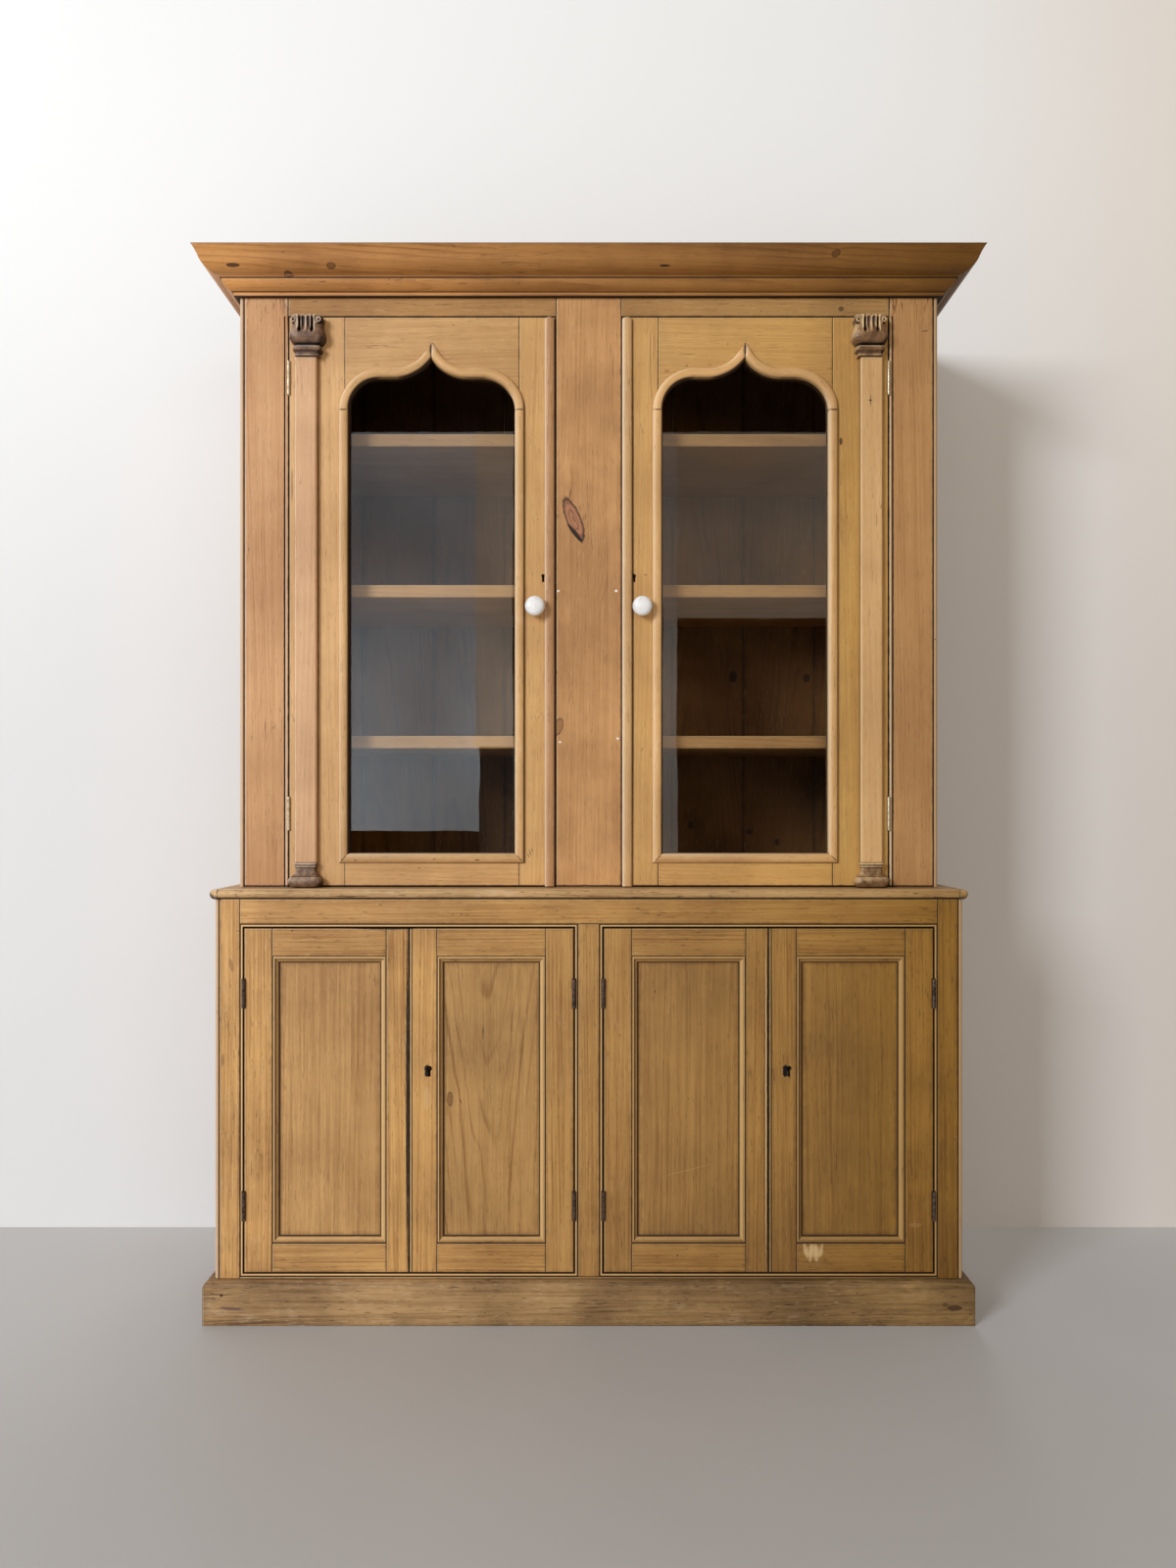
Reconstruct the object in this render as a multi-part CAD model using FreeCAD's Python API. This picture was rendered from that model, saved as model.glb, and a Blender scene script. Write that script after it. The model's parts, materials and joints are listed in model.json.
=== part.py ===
import FreeCAD, Part
import math
import os

# Glazed pine cabinet in two parts: a cupboard with four panelled doors under a bookcase with two glazed doors.
# Millimetres, X to the right, Y to the back, Z up. The origin is on the floor, under the middle of the whole.

Vector = FreeCAD.Vector

# Overall sizes
TOTAL_HEIGHT = 2300.0
LOWER_WIDTH = 1602.0
LOWER_HEIGHT = 905.5
UPPER_INSET = 35.0
UPPER_DEPTH = 452.0
LOWER_STEP = 57.0
CORNICE_PROJECTION = 80.0
CORNICE_HEIGHT = 81.0

# Boards of both carcases
END_THICKNESS = 20.0
END_EDGE = 10.0
END_QUIRK = 1.5
FRAME_THICKNESS = 22.0
BACK_THICKNESS = 12.0
BACK_REBATE = 10.0
BACK_TONGUE = 6.0
BACK_PITCH = 184.0
BACK_CENTRE_BOARD = 215.5
INNER_BOARD = 20.0
BEARER_HEIGHT = 30.0
BEARER_THICKNESS = 18.0
TENON_LENGTH = 30.0
TENON_SHOULDER = 12.0
OVERRUN = 1.0

# Lower carcase
LOWER_STILE = 43.5
MUNTIN = 45.6
LOWER_TOP_RAIL = 53.5
SILL_FROM_FLOOR = 30.0
SILL_HEIGHT = 66.0
COCK_BEAD = 6.0
COCK_QUIRK = 1.5
BEAD_FACETS = 4
LOWER_SHELF_OVER_SILL = 404.0
LOWER_SHELF_SETBACK = 40.0
LOWER_BACK_FOOT = 20.0
PLINTH_UNDER_SILL = 3.0
PLINTH_PROJECTION = 20.0
PLINTH_OVOLO_HEIGHT = 15.0
PLINTH_OVOLO_DEPTH = 13.0

# Top board of the lower carcase, with a half-round nosing on three sides
TOP_THICKNESS = 21.0
NOSING_WIDTH = 16.0
NOSING_SIDE = 8.0
NOSING_FRONT = 9.0

# Upper carcase
UPPER_STILE = 97.0
UPPER_STILE_BEAD = 8.0
CENTRE_STILE = 143.0
UPPER_TOP_RAIL = 102.7
CORNICE_LIP = 18.0
SHELF_THICKNESS = 28.0
SHELF_FIRST = 335.5
SHELF_STEP = 338.0
SHELF_HEADROOM = 150.0
SHELF_SETBACK = 50.0
BOTTOM_BOARD_EASE = 1.0

# Cornice: a bed moulding below, and a crown of a belly and a hollow above it
BED_HEIGHT = 30.0
BED_PROJECTION = 31.0
BED_FILLET = 10.0
BED_FILLET_HEIGHT = 6.0
BED_QUIRK = 2.0
BED_HOLLOW = 4.0
CROWN_FOOT = 3.0
CROWN_FILLET = 3.5
CROWN_BELLY = 5.0
CROWN_BELLY_HEIGHT = 23.0
CROWN_HOLLOW = 1.2
CROWN_HOLLOW_OUT = 13.0
CROWN_TOP_EDGE = 20.0
CROWN_BACK_FOOT = 14.0
CROWN_BACK_RISE = 13.0

# Glazed doors
DOOR_GAP = 2.0
GLAZED_THICKNESS = 24.0
HINGE_STILE = 122.0
LOCK_STILE = 79.0
GLAZED_BOTTOM_RAIL = 63.2
GLASS_DEPTH = 9.0
GLASS_THICKNESS = 3.0
GLASS_EASE = 0.5
GLASS_COVER = 25.0
MOULDING_WIDTH = 21.5
MOULDING_LAP = 12.2
MOULDING_RISE = 9.0
GLAZING_BEAD = 11.0
GLAZING_BEAD_DEPTH = 9.0
OVER_ARCH = 92.3
SHOULDER_SHARE = 0.3957
REVERSE_SHARE = 0.4396
REVERSE_SWEEP = 54.3
SPANDREL_TIP = 3.0
HALF_ROUND_FACETS = 6
COVER_BEAD = 23.0
COVER_BEAD_RISE = 8.0

# Pilaster on each glazed door
PILASTER_FROM_HINGE = 38.5
PILASTER_WIDTH = 49.0
PILASTER_RISE = 12.0
PILASTER_EASE = 3.0
BASE_HEIGHT = 52.0
CAPITAL_HEIGHT = 86.0
CAPITAL_BELOW_TOP = 5.3
CAPITAL_FROM_HINGE = 43.0
BLOCK_DEPTH_LOSS = 7.0

# Base block, from the foot up. Widths are half widths
BASE_FOOT = 33.0
BASE_BULGE = 4.3
BASE_BULGE_HEIGHT = 23.0
BASE_SHOULDER = 29.0
BASE_HOLLOW = 2.0
BASE_HOLLOW_HEIGHT = 11.0
BASE_NECK = 20.5
BASE_NECK_HEIGHT = 5.0
BASE_FILLET = 22.5
BASE_FILLET_HEIGHT = 3.0
BASE_CAP = 25.5
BASE_CAP_HEIGHT = 5.5
BASE_CANT = 8.0

# Capital, from the foot up. Widths are half widths
CAPITAL_FOOT = 26.5
CAPITAL_FOOT_HEIGHT = 7.0
CAPITAL_COLLAR = 28.0
CAPITAL_COLLAR_RISE = 2.0
CAPITAL_RING_BULGE = 3.5
CAPITAL_RING_HEIGHT = 16.0
CAPITAL_BELL = 30.5
CAPITAL_BELL_BULGE = 6.5
CAPITAL_BELL_HEIGHT = 33.0
CAPITAL_LIP = 33.5
CAPITAL_NECK = 31.5
CAPITAL_NECK_HEIGHT = 7.0
CAPITAL_SCROLL_BULGE = 6.0
FLUTE_RADIUS = 3.2
FLUTE_SPREAD = 13.5
FLUTE_RISE = 53.0
CARVED_FACETS = 4

# Panelled doors
PANELLED_THICKNESS = 22.0
PANELLED_HINGE_STILE = 60.0
PLAIN_MEETING_STILE = 47.5
BEADED_MEETING_STILE = 59.0
MEETING_BEAD = 5.0
MEETING_QUIRK = 1.2
PANELLED_TOP_RAIL = 60.0
PANELLED_BOTTOM_RAIL = 62.0
PANEL_RECESS = 10.0
PANEL_THICKNESS = 8.0
PANEL_GROOVE = 9.0
PANEL_EASE = 1.0
OGEE_WIDTH = 14.5
OGEE_SUNK = 1.5
OGEE_FILLET = 2.0
OGEE_FOOT = 1.0
DOOR_TENON_SHY = 10.0

# Knobs, locks and hinges
KNOB_RADIUS = 21.75
KNOB_LENGTH = 35.0
KNOB_NECK = 9.0
KNOB_FOOT = 12.5
KNOB_FOOT_HEIGHT = 3.0
KNOB_NECK_HEIGHT = 9.0
KNOB_THROAT = 12.0
KNOB_SHOULDER = 21.5
KNOB_FACETS = 4
KNOB_SIDES = 24
KNOB_FROM_EDGE = 43.5
KNOB_OVER_FOOT = 611.5
BOLT_RADIUS = 2.5
BOLT_IN_KNOB = 20.0
BOLT_EASE = 0.05
NUT_RADIUS = 7.0
NUT_HEIGHT = 4.0
KEY_OVER_KNOB = 65.0
UPPER_BACKSET = 26.5
UPPER_KEY_RADIUS = 3.85
UPPER_KEY_LENGTH = 17.6
LOWER_KEY_OVER_FOOT = 430.5
LOWER_BACKSET = 43.0
LOWER_KEY_RADIUS = 5.5
LOWER_KEY_LENGTH = 23.0
KEY_SLOT = 5.0
LOCK_HEIGHT = 62.0
LOCK_BEHIND_KEY = 22.0
LOCK_DEPTH = 12.0
LOCK_FROM_EDGE = 1.0
LOCK_WALL = 3.0
LATCH_HEIGHT = 10.0
LATCH_LENGTH = 26.0
SLIDE_EASE = 0.3
BRASS_LENGTH = 75.0
BRASS_KNUCKLE = 3.25
BRASS_PIN_PROUD = 2.0
BRASS_LEAF = 20.0
BRASS_FROM_FOOT = 159.5
BRASS_FROM_HEAD = 133.7
IRON_LENGTH = 63.0
IRON_KNUCKLE = 4.0
IRON_PIN_PROUD = 2.5
IRON_LEAF = 18.0
IRON_FROM_FOOT = 142.5
IRON_FROM_HEAD = 139.5
LEAF_PLATE = 1.6
LEAF_EASE = 0.2
KNUCKLES = 3
KNUCKLE_SIDES = 8
KNUCKLE_EASE = 0.3
KNUCKLE_POCKET = 0.4
PIN_SIDES = 6
PIN_WALL = 2.0
PIN_EASE = 0.05

# Planes and heights that the sizes above give
back_y = (UPPER_DEPTH + CORNICE_PROJECTION) / 2
upper_front = back_y - UPPER_DEPTH
lower_front = upper_front - LOWER_STEP
upper_base = LOWER_HEIGHT + TOP_THICKNESS
upper_top = TOTAL_HEIGHT - CORNICE_LIP
upper_rail_bottom = upper_top - UPPER_TOP_RAIL
cornice_base = TOTAL_HEIGHT - CORNICE_HEIGHT
half_lower = LOWER_WIDTH / 2
half_upper = half_lower - UPPER_INSET
half_muntin = MUNTIN / 2
half_centre = CENTRE_STILE / 2
lower_opening = half_lower - END_EDGE - LOWER_STILE
upper_opening = half_upper - END_EDGE - UPPER_STILE
sill_top = SILL_FROM_FLOOR + SILL_HEIGHT
lower_rail_bottom = LOWER_HEIGHT - LOWER_TOP_RAIL
lower_shelf_under = sill_top + LOWER_SHELF_OVER_SILL - INNER_BOARD

# Panelled doors stand inside the cock bead
cock_width = COCK_BEAD + COCK_QUIRK
reveal_outer = lower_opening - cock_width
reveal_inner = half_muntin + cock_width
panelled_bottom = sill_top + cock_width + DOOR_GAP
panelled_top = lower_rail_bottom - cock_width - DOOR_GAP
panelled_width = (reveal_outer - reveal_inner - 3 * DOOR_GAP) / 2
lower_key_z = panelled_bottom + LOWER_KEY_OVER_FOOT

# The right-hand glazed door, its light and the springing of its arch
glazed_bottom = upper_base + DOOR_GAP
glazed_top = upper_rail_bottom - DOOR_GAP
glazed_hinge_edge = upper_opening - DOOR_GAP
glazed_lock_edge = half_centre + DOOR_GAP
light_left = glazed_lock_edge + LOCK_STILE
light_right = glazed_hinge_edge - HINGE_STILE
light_middle = (light_left + light_right) / 2
light_bottom = glazed_bottom + GLAZED_BOTTOM_RAIL
moulding_inset = MOULDING_WIDTH - MOULDING_LAP
sight_half = (light_right - light_left) / 2 - moulding_inset
shoulder_radius = SHOULDER_SHARE * sight_half
reverse_spread = REVERSE_SHARE * sight_half
reverse_sweep = math.radians(REVERSE_SWEEP)
reverse_radius = reverse_spread / math.sin(reverse_sweep)
arch_rise = shoulder_radius + reverse_radius * (1 - math.cos(reverse_sweep))
spring_z = glazed_top - OVER_ARCH - arch_rise
knob_z = glazed_bottom + KNOB_OVER_FOOT
upper_key_z = knob_z + KEY_OVER_KNOB

# Hinge pins, each in the middle of its gap
glazed_pin = glazed_hinge_edge + DOOR_GAP / 2
outer_pin = reveal_outer - DOOR_GAP / 2
inner_pin = reveal_inner + DOOR_GAP / 2
lower_pins = ((-outer_pin, 1), (-inner_pin, -1), (inner_pin, 1), (outer_pin, -1))
brass_heights = (glazed_bottom + BRASS_FROM_FOOT, glazed_top - BRASS_FROM_HEAD)
iron_heights = (panelled_bottom + IRON_FROM_FOOT, panelled_top - IRON_FROM_HEAD)


def box(x0, x1, y0, y1, z0, z1):
    """A board between two corners."""
    return Part.makeBox(x1 - x0, y1 - y0, z1 - z0, Vector(x0, y0, z0))


def round_bar(radius, start, direction, length):
    return Part.makeCylinder(radius, length, start, direction)


def mirrored(shape):
    """The same piece on the other side of the middle."""
    return shape.mirror(Vector(0, 0, 0), Vector(1, 0, 0))


def both_sides(*shapes):
    return [copy for shape in shapes for copy in (mirrored(shape), shape)]


def clean(shape):
    """A boolean result as one solid without needless edges."""
    whole = shape.removeSplitter()
    return whole.Solids[0] if len(whole.Solids) == 1 else whole


def outline(path, place):
    """A closed face. Each step of the path is a corner, or a pair: a point on an arc and the arc's end."""
    edges = []
    here = path[0]
    for step in path[1:] + path[:1]:
        if isinstance(step[0], tuple):
            edges.append(Part.Arc(place(*here), place(*step[0]), place(*step[1])).toShape())
            here = step[1]
        elif math.dist(here, step) > 1e-6:
            edges.append(Part.LineSegment(place(*here), place(*step)).toShape())
            here = step
    return Part.Face(Part.Wire(edges))


def moulded(path, place, run):
    """A moulding run along one direction."""
    return outline(path, place).extrude(run)


def plate_xz(points, y0, y1):
    """A plate with its outline seen from the front."""
    return moulded(points, lambda x, z: Vector(x, y0, z), Vector(0, y1 - y0, 0))


def plate_xy(points, z0, z1):
    """A plate with its outline seen from above."""
    return moulded(points, lambda x, y: Vector(x, y, z0), Vector(0, 0, z1 - z0))


def arc_to(start, end, swell):
    """A path step: an arc from a known start to the end, its crest to the right of the chord by the swell."""
    across, up = end[0] - start[0], end[1] - start[1]
    chord = math.hypot(across, up)
    middle = ((start[0] + end[0]) / 2 + swell * up / chord, (start[1] + end[1]) / 2 - swell * across / chord)
    return middle, end


def arc_facets(start, end, swell, facets):
    """Evenly spaced points after the start on the arc that arc_to would draw."""
    across, up = end[0] - start[0], end[1] - start[1]
    chord = math.hypot(across, up)
    points = []
    for index in range(1, facets + 1):
        share = index / facets
        rise = 4 * swell * share * (1 - share) / chord
        points.append((start[0] + share * across + rise * up, start[1] + share * up - rise * across))
    return points


def oval_points(centre, across, along, first, last, facets):
    """Evenly turned points on an oval about a centre, between two angles in degrees."""
    turns = [math.radians(first + (last - first) * index / facets) for index in range(facets + 1)]
    return [(centre[0] + across * math.cos(turn), centre[1] + along * math.sin(turn)) for turn in turns]


def upright_prism(sides, radius, x, y, z0, z1):
    """An upright bar with flat sides, its corners on the radius."""
    turns = [2 * math.pi * side / sides for side in range(sides)]
    return plate_xy([(x + radius * math.cos(turn), y + radius * math.sin(turn)) for turn in turns], z0, z1)


def turning(profile, sides, place):
    """A solid turned from a profile of (radius, height) that starts and ends on the axis, with flat sides."""
    turns = [2 * math.pi * side / sides for side in range(sides + 1)]
    rings = [[place(radius * math.cos(turn), radius * math.sin(turn), height) for turn in turns]
             for radius, height in profile]
    faces = []
    for low, high in zip(rings, rings[1:]):
        for side in range(sides):
            corners = [low[side]]
            for corner in (low[side + 1], high[side + 1], high[side]):
                if corner.distanceToPoint(corners[-1]) > 1e-6 and corner.distanceToPoint(corners[0]) > 1e-6:
                    corners.append(corner)
            faces.append(Part.Face(Part.makePolygon([*corners, corners[0]])))
    return clean(Part.Solid(Part.Shell(faces)))


def framed(path, width, depth, front, x0, x1, z0, z1):
    """Four mitred mouldings round a rectangle: bottom, top, left and right. The path runs inwards and back."""
    reach = depth + width
    bottom = moulded(path, lambda u, v: Vector(x0, front + v, z0 + u), Vector(x1 - x0, 0, 0))
    top = moulded(path, lambda u, v: Vector(x0, front + v, z1 - u), Vector(x1 - x0, 0, 0))
    left = moulded(path, lambda u, v: Vector(x0 + u, front + v, z0), Vector(0, 0, z1 - z0))
    right = moulded(path, lambda u, v: Vector(x1 - u, front + v, z0), Vector(0, 0, z1 - z0))
    inner_left, inner_right = x0 + width, x1 - width
    inner_bottom, inner_top = z0 + width, z1 - width
    low = [(x0, z0), (x1, z0), (inner_right, inner_bottom), (inner_left, inner_bottom)]
    high = [(x0, z1), (x1, z1), (inner_right, inner_top), (inner_left, inner_top)]
    near = [(x0, z0), (x0, z1), (inner_left, inner_top), (inner_left, inner_bottom)]
    far = [(x1, z0), (x1, z1), (inner_right, inner_top), (inner_right, inner_bottom)]
    runs = ((bottom, low), (top, high), (left, near), (right, far))
    return [clean(run.common(plate_xz(cut, front - reach, front + reach))) for run, cut in runs]


def wrapped(path, projection, half_width, front):
    """Three mitred mouldings round a carcase: front, left and right. The path runs outwards and up."""
    low = min(step[-1][1] if isinstance(step[0], tuple) else step[1] for step in path)
    high = max(step[-1][1] if isinstance(step[0], tuple) else step[1] for step in path)
    outer, ahead = half_width + projection, front - projection
    across = moulded(path, lambda p, z: Vector(-outer, front - p, z), Vector(2 * outer, 0, 0))
    along = moulded(path, lambda p, z: Vector(half_width + p, ahead, z), Vector(0, back_y - ahead, 0))
    front_plan = [(-half_width, front), (half_width, front), (outer, ahead), (-outer, ahead)]
    side_plan = [(half_width, front), (half_width, back_y), (outer, back_y), (outer, ahead)]
    front_run = clean(across.common(plate_xy(front_plan, low, high)))
    side_run = clean(along.common(plate_xy(side_plan, low, high)))
    return [front_run, *both_sides(side_run)]


def bead_waste(edge, inward, front, bead, quirk, z0, z1):
    """What is cut away along a board's edge to leave a half-round bead with a quirk beside it."""
    radius = bead / 2
    far = edge + inward * (bead + quirk)
    out = edge - inward * OVERRUN
    block = box(min(far, out), max(far, out), front - OVERRUN, front + radius, z0, z1)
    bead = oval_points((edge + inward * radius, front + radius), radius, radius, 180, 360, BEAD_FACETS)
    return block.cut(plate_xy(bead, z0, z1))


def tenon(x0, x1, front, thickness, z0, z1):
    """The tongue at a rail's end, a third of its thickness."""
    return box(min(x0, x1), max(x0, x1), front + thickness / 3, front + 2 * thickness / 3, z0, z1)


def keyhole(x, height, length, radius, front, thickness):
    """A round hole over a narrower slot, right through a stile."""
    ahead, behind = front - OVERRUN, front + thickness + OVERRUN
    eye_z = height + length / 2 - radius
    eye = round_bar(radius, Vector(x, ahead, eye_z), Vector(0, 1, 0), behind - ahead)
    slot_half = KEY_SLOT / 2
    return eye.fuse(box(x - slot_half, x + slot_half, ahead, behind, height - length / 2, eye_z))


def butt_hinge(x, front, z, proud, knuckle, length, leaf, door_side):
    """A pinned hinge: the door's leaf, the frame's leaf with the pin, and what the wood loses for each."""
    pin_y = front - proud
    low, high = z - length / 2, z + length / 2
    step = length / KNUCKLES
    pin_radius = knuckle - PIN_WALL
    hole_radius = (pin_radius + PIN_EASE) / math.cos(math.pi / PIN_SIDES)
    notch = knuckle + KNUCKLE_EASE
    pocket = knuckle + KNUCKLE_POCKET

    def leaf_of(side, own, other):
        near, far = x + side * LEAF_EASE, x + side * (LEAF_EASE + LEAF_PLATE)
        left, right = min(near, far), max(near, far)
        shape = box(left, right, pin_y, front + leaf, low, high)
        for index in other:
            base = low + index * step - KNUCKLE_EASE / 2
            shape = shape.cut(box(left, right, pin_y, pin_y + notch, base, base + step + KNUCKLE_EASE))
        for index in own:
            base = low + index * step + KNUCKLE_EASE / 2
            top = base + step - KNUCKLE_EASE
            shape = shape.fuse(upright_prism(KNUCKLE_SIDES, knuckle, x, pin_y, base, top))
        return shape

    def seat(side):
        near, far = x, x + side * (LEAF_EASE + LEAF_PLATE)
        sunk = box(min(near, far), max(near, far), front - OVERRUN, front + leaf, low, high)
        return sunk.fuse(box(x - pocket, x + pocket, front - OVERRUN, pin_y + pocket,
                             low - KNUCKLE_POCKET, high + KNUCKLE_POCKET))

    frame_knuckles = range(0, KNUCKLES, 2)
    door_knuckles = range(1, KNUCKLES, 2)
    pin = upright_prism(PIN_SIDES, pin_radius, x, pin_y, low + KNUCKLE_EASE, high - KNUCKLE_EASE)
    hole = upright_prism(PIN_SIDES, hole_radius, x, pin_y, low - OVERRUN, high + OVERRUN)
    frame_leaf = clean(leaf_of(-door_side, frame_knuckles, door_knuckles).fuse(pin))
    door_leaf = clean(leaf_of(door_side, door_knuckles, frame_knuckles).cut(hole))
    return door_leaf, frame_leaf, seat(door_side), seat(-door_side)


def cut_all(shape, tools):
    for tool in tools:
        shape = shape.cut(tool)
    return clean(shape)


def back_boards(half_width, z0, z1):
    """Upright boards side by side across the back, with a tongue on one edge and a groove on the other."""
    front = back_y - BACK_THICKNESS
    joints = [0.0, BACK_CENTRE_BOARD]
    while joints[-1] + BACK_PITCH < half_width - BACK_PITCH / 3:
        joints.append(joints[-1] + BACK_PITCH)
    joints.append(half_width)
    third = BACK_THICKNESS / 3
    boards = []
    for left, right in zip(joints, joints[1:]):
        board = box(left, right, front, back_y, z0, z1)
        if left > 0:
            board = board.cut(box(left, left + BACK_TONGUE, front + third, back_y - third, z0, z1))
        if right < half_width:
            board = board.fuse(box(right, right + BACK_TONGUE, front + third, back_y - third, z0, z1))
        boards.append(clean(board))
    return both_sides(*boards)


def carcase_end(half_width, front, z0, z1):
    """An upright end board, rebated for the face frame and the back, with a bead on its front edge."""
    inner = half_width - END_THICKNESS
    frame_line = half_width - END_EDGE
    board = box(inner, half_width, front, back_y, z0, z1)
    board = board.cut(box(inner, frame_line, front, front + FRAME_THICKNESS, z0, z1))
    board = board.cut(box(inner, inner + BACK_REBATE, back_y - BACK_THICKNESS, back_y, z0, z1))
    bead = END_EDGE - END_QUIRK
    return clean(board.cut(bead_waste(half_width, -1, front, bead, END_QUIRK, z0, z1)))


def carved_block(steps, height):
    """A block moulded alike on its front and sides. The steps climb its right edge as (half width, height)."""
    face = steps + [(0, height), (0, 0)]
    reach = CAPITAL_BELOW_TOP + CAPITAL_HEIGHT
    ahead = moulded(face, lambda x, z: Vector(x, -reach, z), Vector(0, reach, 0))
    aside = moulded(face, lambda p, z: Vector(0, BLOCK_DEPTH_LOSS - p, z), Vector(reach, 0, 0))
    half = ahead.common(aside)
    return clean(half.fuse(mirrored(half)))


def save(node, shapes):
    """One node's file. Pieces that share a node stay separate solids."""
    solids = [solid for shape in shapes for solid in shape.Solids]
    for solid in solids:
        if not solid.isValid():
            raise ValueError(node + " holds a faulty solid")
    whole = solids[0] if len(solids) == 1 else Part.makeCompound(solids)
    whole.exportStep("parts/" + node + ".step")


def make_hinges():
    """Both upper doors' brass hinges and all four lower doors' iron ones."""
    sets = {}
    for door, x, side in (("upper_left", -glazed_pin, 1), ("upper_right", glazed_pin, -1)):
        sets[door] = [
            butt_hinge(x, upper_front, z, BRASS_PIN_PROUD, BRASS_KNUCKLE, BRASS_LENGTH, BRASS_LEAF, side)
            for z in brass_heights
        ]
    for door, (x, side) in enumerate(lower_pins, start=1):
        sets["lower_%d" % door] = [
            butt_hinge(x, lower_front, z, IRON_PIN_PROUD, IRON_KNUCKLE, IRON_LENGTH, IRON_LEAF, side)
            for z in iron_heights
        ]
    return sets


def make_lower_carcase():
    inner = half_lower - END_THICKNESS
    frame_back = lower_front + FRAME_THICKNESS
    board_back = back_y - BACK_THICKNESS
    end = carcase_end(half_lower, lower_front, 0, LOWER_HEIGHT)
    save("lower_ends", both_sides(end))

    # Face frame: stiles, sill and top rail, with the muntin tenoned between them
    stile = box(lower_opening, half_lower - END_EDGE, lower_front, frame_back, 0, LOWER_HEIGHT)
    rails = []
    for z0, z1 in ((SILL_FROM_FLOOR, sill_top), (lower_rail_bottom, LOWER_HEIGHT)):
        rail = box(-lower_opening, lower_opening, lower_front, frame_back, z0, z1)
        end_tenon = tenon(lower_opening, lower_opening + TENON_LENGTH, lower_front, FRAME_THICKNESS,
                          z0 + TENON_SHOULDER, z1 - TENON_SHOULDER)
        stile = stile.cut(end_tenon)
        rails.append(rail.fuse(end_tenon).fuse(mirrored(end_tenon)))
    muntin = box(-half_muntin, half_muntin, lower_front, frame_back, sill_top, lower_rail_bottom)
    half_stub = half_muntin - TENON_SHOULDER
    for index, z0 in enumerate((sill_top - TENON_LENGTH, lower_rail_bottom)):
        stub = tenon(-half_stub, half_stub, lower_front, FRAME_THICKNESS, z0, z0 + TENON_LENGTH)
        muntin = muntin.fuse(stub)
        rails[index] = rails[index].cut(stub)
    save("lower_face_frame", [*both_sides(clean(stile)), clean(muntin), *map(clean, rails)])

    # Cock bead round each pair of doors, mitred at the corners, with a quirk next to the frame
    radius = COCK_BEAD / 2
    bead_path = [
        (0, FRAME_THICKNESS), (0, radius),
        *oval_points((COCK_QUIRK + radius, radius), -radius, -radius, 0, 180, BEAD_FACETS),
        (cock_width, FRAME_THICKNESS),
    ]
    beads = framed(bead_path, cock_width, FRAME_THICKNESS, lower_front,
                   half_muntin, lower_opening, sill_top, lower_rail_bottom)
    seats = [hinge[3] for door in ("lower_3", "lower_4") for hinge in hinges[door]]
    beads = [cut_all(bead, seats) for bead in beads]
    save("lower_cock_beads", both_sides(*beads))

    # Inside: bottom board, upright division behind the muntin, two shelves on bearers
    bottom = box(-inner, inner, frame_back, board_back, sill_top - INNER_BOARD, sill_top)
    half_division = INNER_BOARD / 2
    division = box(-half_division, half_division, frame_back, board_back, sill_top, LOWER_HEIGHT)
    shelf_front = frame_back + LOWER_SHELF_SETBACK
    under = lower_shelf_under
    shelf = box(half_division, inner, shelf_front, board_back, under, under + INNER_BOARD)
    save("lower_boards_and_shelves", [bottom, division, *both_sides(shelf)])
    save("lower_back_boards", back_boards(inner + BACK_REBATE, LOWER_BACK_FOOT, LOWER_HEIGHT))
    bearers = [
        box(x0, x0 + BEARER_THICKNESS, shelf_front, board_back, under - BEARER_HEIGHT, under)
        for x0 in (half_division, inner - BEARER_THICKNESS)
    ]
    return both_sides(*bearers)


def make_plinth():
    """Plinth boards with an ovolo along the top, mitred at the front corners."""
    height = sill_top - PLINTH_UNDER_SILL
    shoulder = height - PLINTH_OVOLO_HEIGHT
    inner = PLINTH_PROJECTION - PLINTH_OVOLO_DEPTH
    bend = math.sqrt(0.5)
    path = [
        (0, 0), (PLINTH_PROJECTION, 0), (PLINTH_PROJECTION, shoulder),
        ((inner + PLINTH_OVOLO_DEPTH * bend, shoulder + PLINTH_OVOLO_HEIGHT * bend), (inner, height)),
        (0, height),
    ]
    save("plinth", wrapped(path, PLINTH_PROJECTION, half_lower, lower_front))


def make_top_board():
    """The ledge: a board held by side nosings that run to the back, and a front nosing between them."""
    outer = half_lower + NOSING_SIDE
    inner = outer - NOSING_WIDTH
    ahead = lower_front - NOSING_FRONT
    radius = TOP_THICKNESS / 2
    middle = LOWER_HEIGHT + radius
    board = box(-inner, inner, ahead + NOSING_WIDTH, back_y, LOWER_HEIGHT, upper_base)
    half_round = [
        (NOSING_WIDTH, LOWER_HEIGHT), (radius, LOWER_HEIGHT), ((0, middle), (radius, upper_base)),
        (NOSING_WIDTH, upper_base),
    ]
    side = moulded(half_round, lambda u, z: Vector(outer - u, ahead, z), Vector(0, back_y - ahead, 0))
    front = moulded(half_round, lambda u, z: Vector(-inner, ahead + u, z), Vector(2 * inner, 0, 0))
    save("top_board", [board])
    save("top_nosings", [front, *both_sides(side)])


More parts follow.
